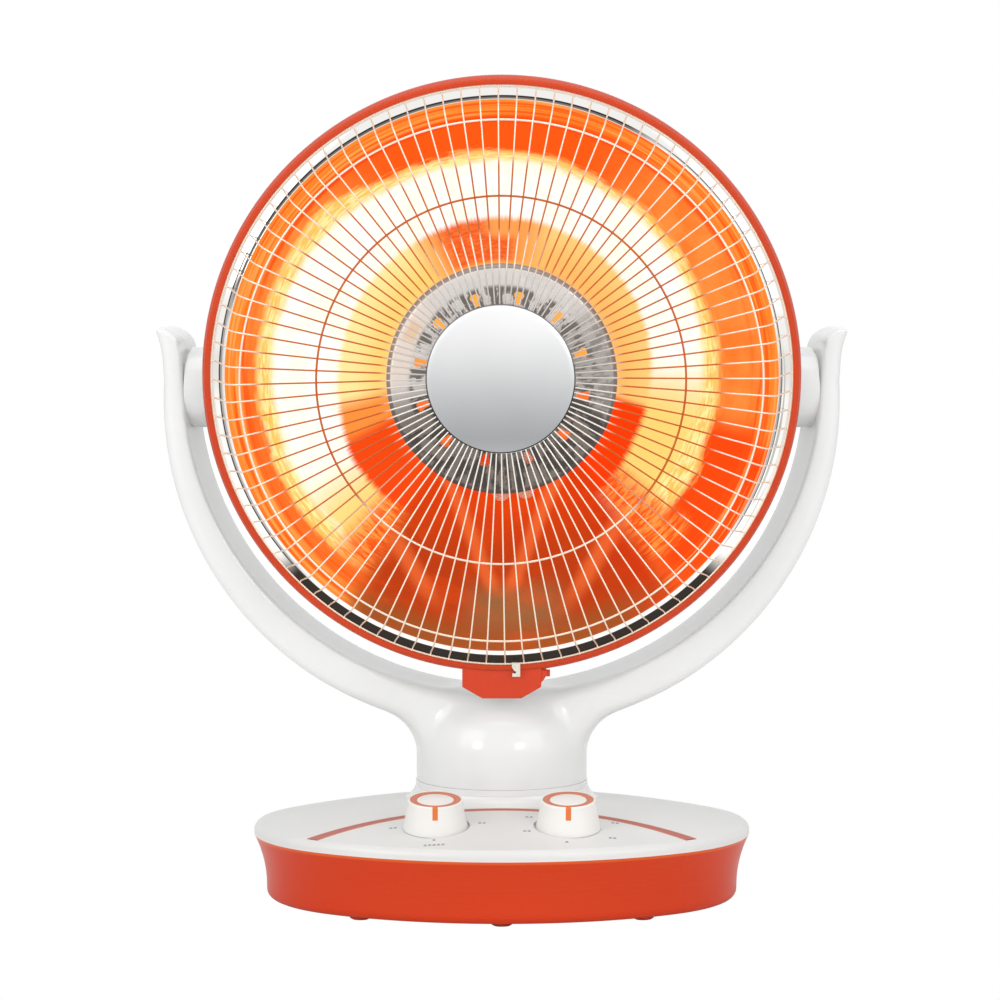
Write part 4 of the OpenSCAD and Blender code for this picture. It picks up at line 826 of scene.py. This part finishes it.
def tab():
    """The small lock plate of the guard: a hooked strip with a dark pin."""
    plate = [(-2.6, -163.5), (2.2, -163.5), (2.2, -171.6), (-2.3, -171.6), (-2.3, -169.8), (-1.2, -169.4),
             (-1.2, -168.2), (-2.6, -166.0)]
    right = 8.3
    body = loose("guard_lock_tab", *prism([(x + right, z) for x, z in plate], -30.8, -29.2))
    remodel(body, bevel(0.25, 2))
    settle(body, cream, "head", ["grille_tab"], "steel")
    pin = [(AXIS_R, 0.1), (0.6, 0.1), (0.7, 0.0), (0.7, -0.6), (AXIS_R, -0.6)]
    centre = Vector((0.0074, -0.0308, HEAD.z - 0.169))
    turned = lathe(pin, 24, lambda r, a, h: centre + Vector((r * math.cos(a), -h, r * math.sin(a))))
    piece("guard_lock_pin", *turned, dark_plastic, "head", [], "steel")


# ---------- yoke ----------

def flare_x(z):
    """Outside of the flared tip at a height, which curves away from the arm."""
    centre_x, centre_z, radius = 252.88, 306.21, 59.75
    return centre_x - math.sqrt(radius ** 2 - (z - centre_z) ** 2)


def yoke_pairs():
    """Inner and outer points of an arm in (x, z) with its bevel, from the saddle's bottom to the tip."""
    saddle_out, saddle_end = 197.2, -61.93
    arm_x, arm_z, arm_out = 3.6, 287.25, 189.4
    flare_from, point_z = 301.7, 320
    pairs = []
    for a in np.linspace(-90, 0, 40):
        c, s = math.cos(math.radians(a)), math.sin(math.radians(a))
        if a < saddle_end:
            reach = saddle_out
        else:
            low = arm_z - TILT_Z
            k = arm_x * c + low * s
            reach = k + math.sqrt(k * k - (arm_x ** 2 + low ** 2 - arm_out ** 2))
        pairs.append(((SADDLE_R * c, TILT_Z + SADDLE_R * s), (reach * c, TILT_Z + reach * s), 8 + 5.5 * s))
    for t in (0.25, 0.5, 0.75, 1.0):
        z = TILT_Z + 14 * t
        outer_x = flare_x(z) if z > flare_from else arm_x + math.sqrt(arm_out ** 2 - (z - arm_z) ** 2)
        pairs.append(((SADDLE_R + 1.2 * t, z), (outer_x, z), 8.0))
    tip_turn = (176, 164, 152, 140, 128, 116, 106, 98)
    tip_z = (312, 315.5, 319, 322, 324.6, 326.8, 328.4, 329.4)
    for a, z in zip(tip_turn, tip_z):
        pairs.append((on_arc(192.0, 314.0, 17.2, 16.6, a), (flare_x(z), z), 8.0 if z < point_z else 5.0))
    return pairs


def arm_shell(side):
    """One arm with its half of the saddle, rounded outside and bevelled towards the head."""
    front, rear = -4.0, 44.0
    verts = []
    pairs = yoke_pairs()
    for inner, outer, bevelled in pairs:
        i, o = Vector(inner), Vector(outer)
        width = (o - i).length
        edge = min(6.5, width * 0.42)
        slope = min(bevelled, width * 0.45)
        section = rounded([(width, front, edge), (width, rear, edge), (0.0, rear, 1.5), (slope, front, 1.2)], 6)
        for t, y in section:
            p = i + (o - i) * (t / width)
            verts.append((side * p.x * MM, y * MM, p.y * MM))
    return verts, skin(len(pairs), len(section)) + caps(len(pairs), len(section))


def about_neck(r, angle, h):
    """A point round the upright axis of the neck."""
    return (r * math.cos(angle), NECK_Y * MM + r * math.sin(angle), h)


def about_tilt(r, angle, h):
    """A point round the tilt axis's middle, in the plane of the arms."""
    return (r * math.cos(angle), NECK_Y * MM + h, TILT_Z * MM + r * math.sin(angle))


def neck_flare():
    """The bell between neck and saddle, trimmed to the arms' depth and to the inside of the saddle."""
    corner_x, corner_r, saddle_r = 78.65, 30.0, 197.9
    corner_z = TILT_Z - math.sqrt((saddle_r + corner_r - 0.35) ** 2 - corner_x ** 2)
    bell = [(0.01, corner_z - 6), (48.4, corner_z - 6)]
    bell += [on_arc(corner_x, corner_z, corner_r, corner_r, a) for a in range(180, 95, -5)]
    bell += [(76.0, 128.0), (0.01, 128.0)]
    flare = loose("neck_flare", *lathe(bell, 144, about_neck))
    corners = [(x * MM, y * MM, z * MM) for x in (-90, 90) for y in (-3.2, 43.2) for z in (60, 122)]
    sides = [(0, 1, 3, 2), (4, 6, 7, 5), (0, 4, 5, 1), (2, 3, 7, 6), (0, 2, 6, 4), (1, 5, 7, 3)]
    slab = loose("arm_slab", corners, sides)
    cut(flare, "INTERSECT", slab)
    hollow = [(AXIS_R, -60.0), (SADDLE_R, -60.0), (SADDLE_R, 60.0), (AXIS_R, 60.0)]
    inside = loose("saddle_inside", *lathe(hollow, 256, about_tilt))
    cut(flare, "DIFFERENCE", inside)
    drop(slab, inside)
    return flare


def junction_share(x, y, z):
    """1 on the front where neck and saddle run together, falling to 0 round it."""
    near = max(0.0, 1 - max(0.0, abs(x) - 0.055) / 0.05) * max(0.0, min(1.0, (z - 0.074) / 0.012))
    return near * max(0.0, min(1.0, (0.135 - z) / 0.01)) * (y < 0.012)


def cut_level(mesh, height):
    """Takes off what lies below a height and closes the cut."""
    bm = bmesh.new()
    bm.from_mesh(mesh)
    made = bmesh.ops.bisect_plane(bm, geom=bm.verts[:] + bm.edges[:] + bm.faces[:], plane_co=(0, 0, height),
                                  plane_no=(0, 0, 1), clear_inner=True)
    rim = [e for e in made["geom_cut"] if isinstance(e, bmesh.types.BMEdge)]
    bmesh.ops.holes_fill(bm, edges=rim, sides=0)
    bmesh.ops.recalc_face_normals(bm, faces=bm.faces)
    bm.to_mesh(mesh)
    bm.free()


def yoke():
    """Neck, saddle and both arms, run together as one smooth moulding and cut off at the swivel seam."""
    neck_r, top_r, shoulder_z, shoulder_h, seam_z = 49.0, 20.0, 86.0, 31.5, 67.8
    neck = [(0.01, 60.0), (neck_r, 60.0), (neck_r, shoulder_z)]
    neck += [on_arc(top_r, shoulder_z, neck_r - top_r, shoulder_h, a) for a in range(6, 91, 6)]
    neck += [(0.01, 117.5)]
    flare = neck_flare()
    whole = loose("yoke_form", *gather([arm_shell(1), arm_shell(-1), lathe(neck, 144, about_neck)]))
    # the tips slope down towards the back
    slope_from, slope, front, depth = 0.312, 0.17, 0.004, 0.048
    for v in whole.data.vertices:
        v.co.z -= max(0.0, v.co.z - slope_from) * slope * (v.co.y + front) / depth
    bm = bmesh.new()
    bm.from_mesh(whole.data)
    bm.from_mesh(flare.data)
    bm.to_mesh(whole.data)
    bm.free()
    drop(flare)
    voxel = 0.0012
    remodel(whole, ("REMESH", {"mode": "VOXEL", "voxel_size": voxel}))
    group = whole.vertex_groups.new(name="junction")
    for v in whole.data.vertices:
        near = junction_share(*v.co)
        if near > 0:
            group.add([v.index], near, "REPLACE")
    remodel(whole, ("SMOOTH", {"factor": 0.5, "iterations": 14}),
            ("SMOOTH", {"factor": 0.5, "iterations": 220, "vertex_group": "junction"}),
            ("SMOOTH", {"factor": 0.5, "iterations": 3}))
    cut_level(whole.data, seam_z * MM)
    whole.name = "yoke_shell"
    settle(whole, white, "yoke", ["yoke_front", "yoke_rear"], "white_plastic", 60)


# ---------- base ----------

BASE_A, BASE_B, DECK_DROP, APEX = 142.0, 110.0, 15.0, 60.0


DOME_RX, DOME_RY = [(half ** 2 + DECK_DROP ** 2) / (2 * DECK_DROP) for half in (BASE_A, BASE_B)]


def deck_height(x, y):
    """Height of the domed deck over a point of the base, in millimetres."""
    fall_x = DOME_RX - math.sqrt(DOME_RX * DOME_RX - x * x)
    return APEX - fall_x - (DOME_RY - math.sqrt(DOME_RY * DOME_RY - y * y))


def collar():
    """The fixed ring under the neck, with a fine line round it and a foot that runs out into the deck."""
    outer, foot, sunk, line_at = 49.4, 6.0, 0.4, 14

    def place(r, angle, h):
        x, y, z = about_neck(r, angle, h)
        share = min(1.0, max(0.0, (r / MM - outer) / foot))
        return (x, y, z + share * (deck_height(x / MM, y / MM) - (APEX - sunk)) * MM)

    outline = [(44.0, 67.66), (49.2, 67.66), (outer, 67.5)]
    for a in (0, 7, 12, 14, 16, 21, 30, 40, 50, 60, 70, 80, 90):
        c, s = math.cos(math.radians(a)), math.sin(math.radians(a))
        outline.append((outer + foot * (1 - c) - 0.3 * (a == line_at), APEX - sunk + foot * (1 - s)))
    outline += [(outer + foot, 54.0), (44.0, 54.0)]
    piece("swivel_collar_ring", *lathe(outline, 192, place), white, "base", ["swivel_collar"], "white_plastic")


def thick_sheet(front, back):
    """Vertices and faces of the solid between two grids of points of one size."""
    rows, columns = len(front), len(front[0])
    verts = [v for grid in (front, back) for row in grid for v in row]
    half = rows * columns
    faces = [(k, k + 1, k + columns + 1, k + columns) for base in (0, half) for i in range(rows - 1)
             for k in range(base + i * columns, base + (i + 1) * columns - 1)]
    edge = [i * columns for i in range(rows)] + [(rows - 1) * columns + j for j in range(1, columns)]
    edge += [i * columns + columns - 1 for i in range(rows - 2, -1, -1)] + list(range(columns - 2, 0, -1))
    return verts, faces + [(a, b, b + half, a + half) for a, b in zip(edge, edge[1:] + edge[:1])]


def inlay():
    """The rose strip on the deck: an arc band that widens to its ends, which are cut at a slant."""
    ends = (103.7, 110.0)
    rows = []
    for t in np.linspace(-1, 1, 97):
        (x0, y0), (x1, y1) = [(t * end, centre + math.sqrt(radius ** 2 - (t * end) ** 2))
                              for end, (centre, radius) in zip(ends, INLAY_ARCS[::-1])]
        rows.append([(x0 + k * (x1 - x0), y0 + k * (y1 - y0)) for k in np.linspace(0, 1, 5)])
    sheets = [[[(x * MM, y * MM, (deck_height(x, y) + lift) * MM) for x, y in row] for row in rows]
              for lift in (0.12, -0.5)]
    piece("deck_inlay_strip", *thick_sheet(*sheets), FINISH["inlay_plastic"], "base", ["deck_inlay"],
          "inlay_plastic")


KNOB_X, KNOB_Y = 37.5, -68.0


def knob_place(side):
    """Where a knob stands, square to the deck's slope."""
    at = Vector((side * KNOB_X, KNOB_Y, deck_height(KNOB_X, KNOB_Y))) * MM
    return Matrix.Translation(at) @ Matrix.Rotation(math.asin(-KNOB_Y / DOME_RY), 4, "X")


def knob_side(h):
    """Radius of a knob's side at a height: it spreads towards the deck."""
    top = 15.6  # both the height where the side begins and its radius there
    return top + 2.7 * (1 - h / top) ** 1.35 if h < top else top - (h - top)


def knobs():
    """Two knobs, each with its painted ring and a pointer that runs over the front edge."""
    body = [(AXIS_R, 15.9), (10.0, 15.9), (10.4, 15.7), (10.45, 15.2), (14.35, 15.2), (14.4, 16.1), (14.9, 16.3)]
    body += [(knob_side(h), h) for h in np.linspace(15.6, 0.2, 14)] + [(18.4, -0.9), (AXIS_R, -0.9)]
    ring = [(11.1, 15.0), (11.1, 15.9), (13.8, 15.95), (13.8, 15.0)]
    edges = [[(10.5, 15.0), (10.6, 15.85), (11.1, 15.95), (11.15, 15.0)],
             [(13.75, 15.0), (13.8, 16.0), (14.2, 15.9), (14.3, 15.0)]]
    paint = 0.12
    profile = [(h, knob_side(h) + paint) for h in np.linspace(8.9, 15.55, 9)] + [(16.45, 14.95), (16.45, 14.0)]
    across = np.linspace(-1.5, 1.5, 5)
    for side, name in ((-1, "left"), (1, "right")):
        at = knob_place(side)

        def place(r, a, h):
            return at @ Vector((r * math.cos(a), r * math.sin(a), h))

        piece(name + "_knob_body", *lathe(body, 128, place), knob_white, name + "_knob",
              ["knob_" + name], "knob_plastic")
        piece(name + "_knob_ring", *lathe(ring, 128, place), ring_paint, name + "_knob",
              ["knob_" + name + "_insert"], "ring_plastic")
        front = [[at @ (Vector((x, -math.sqrt(r * r - x * x), h)) * MM) for x in across] for h, r in profile]
        back = [[at @ (Vector((x, -12.6, h)) * MM) for x in across] for h, r in profile]
        marks = [lathe(edge, 128, place) for edge in edges] + [thick_sheet(front, back)]
        piece(name + "_knob_mark", *gather(marks), pointer_paint, name + "_knob", [], "ring_plastic")


def ticks():
    """Plain scale marks round the knobs: rows of short dashes printed on the deck."""
    pitch = 2.5
    # side, then the row's middle to the right and to the back of the knob's axis, and how many marks
    groups = [(-1, -24.0, 2.5, 2), (-1, 26.3, 3.0, 2), (-1, -0.6, -22.0, 1), (-1, -0.5, -29.0, 5),
              (1, -22.0, 14.6, 2), (1, -23.3, -10.5, 2), (1, 26.7, 12.6, 2), (1, 24.9, -14.0, 2),
              (1, -0.9, -25.0, 1)]
    parts = []
    for side, dx, dy, count in groups:
        for k in range(count):
            x = side * KNOB_X + dx + (k - (count - 1) / 2) * pitch
            for along, deep, shift in ((1.6, 0.45, 0.7), (1.9, 0.45, -0.7), (0.4, 1.6, 0.0)):
                left, right = x - along / 2, x + along / 2
                front, back = [KNOB_Y + dy + shift + half for half in (-deep / 2, deep / 2)]
                corners = [(left, front), (right, front), (right, back), (left, back)]
                verts = [(a * MM, b * MM, (deck_height(a, b) + lift) * MM)
                         for lift in (-0.3, 0.06) for a, b in corners]
                parts.append((verts, skin(2, 4) + caps(2, 4)))
    piece("deck_scale_marks", *gather(parts), mark_paint, "base", [], "dark_plastic")


hoop()
dish()
wires()
disc()
shield()
block()
tab()
yoke()
collar()
inlay()
knobs()
ticks()


# ---------- light, floor and world ----------

def lamp(name, place, target, size, power, size_y=None):
    """A soft square or oblong lamp that points at a place."""
    data = bpy.data.lights.new(name, "AREA")
    data.shape = "RECTANGLE"
    data.size, data.size_y = size, size_y or size
    data.energy = power
    obj = new_object(name, data)
    obj.location = place
    obj.rotation_euler = (Vector(target) - Vector(place)).to_track_quat("-Z", "Y").to_euler()


lamp("left_softbox", (-1.7, -1.7, 1.35), (0, 0, 0.2), 1.6, 15)
lamp("right_softbox", (1.7, -1.7, 1.2), (0, 0, 0.2), 1.6, 12)
lamp("top_softbox", (0, -0.3, 2.1), (0, 0, 0.1), 1.4, 12)
lamp("left_window", (-1.25, -1.9, 0.75), (0, 0, 0.1), 0.5, 4, 0.34)
lamp("right_window", (0.95, -2.05, 0.75), (0, 0, 0.1), 0.5, 4, 0.34)


def seen_ray(tree, *kinds):
    """1 for rays of any of the named kinds, and 0 for the light that falls on the heater."""
    path = tree.nodes.new("ShaderNodeLightPath")
    shown = path.outputs["Is " + kinds[0] + " Ray"]
    for kind in kinds[1:]:
        either = tree.nodes.new("ShaderNodeMath")
        either.operation = "MAXIMUM"
        tree.links.new(shown, either.inputs[0])
        tree.links.new(path.outputs["Is " + kind + " Ray"], either.inputs[1])
        shown = either.outputs[0]
    return shown


def studio():
    """White all round to look at and in reflections, and weaker as a light."""
    world = bpy.data.worlds.new("studio")
    bpy.context.scene.world = world
    world.use_nodes = True
    tree = world.node_tree
    background = tree.nodes["Background"]
    background.inputs["Color"].default_value = (1, 1, 1, 1)
    level = tree.nodes.new("ShaderNodeMapRange")
    tree.links.new(seen_ray(tree, "Camera", "Transmission", "Glossy"), level.inputs[0])
    level.inputs["To Min"].default_value = 0.62
    level.inputs["To Max"].default_value = 1.0
    tree.links.new(level.outputs[0], background.inputs["Strength"])


def floor():
    """A wide floor, plain white to look at."""
    half = 6
    verts = [(-half, -half, 0), (half, -half, 0), (half, half, 0), (-half, half, 0)]
    mesh = bpy.data.meshes.new("floor")
    mesh.from_pydata(verts, [], [(0, 1, 2, 3)])
    obj = new_object("floor", mesh)
    made = bpy.data.materials.new("floor")
    made.use_nodes = True
    nodes, links = made.node_tree.nodes, made.node_tree.links
    shader = nodes["Principled BSDF"]
    shader.inputs["Base Color"].default_value = (0.9, 0.9, 0.9, 1)
    shader.inputs["Roughness"].default_value = 0.9
    glow = nodes.new("ShaderNodeEmission")
    glow.inputs["Strength"].default_value = 1.0
    blend = nodes.new("ShaderNodeMixShader")
    links.new(seen_ray(made.node_tree, "Camera", "Transmission"), blend.inputs[0])
    links.new(shader.outputs[0], blend.inputs[1])
    links.new(glow.outputs[0], blend.inputs[2])
    links.new(blend.outputs[0], nodes["Material Output"].inputs[0])
    obj.data.materials.append(made)


studio()
floor()
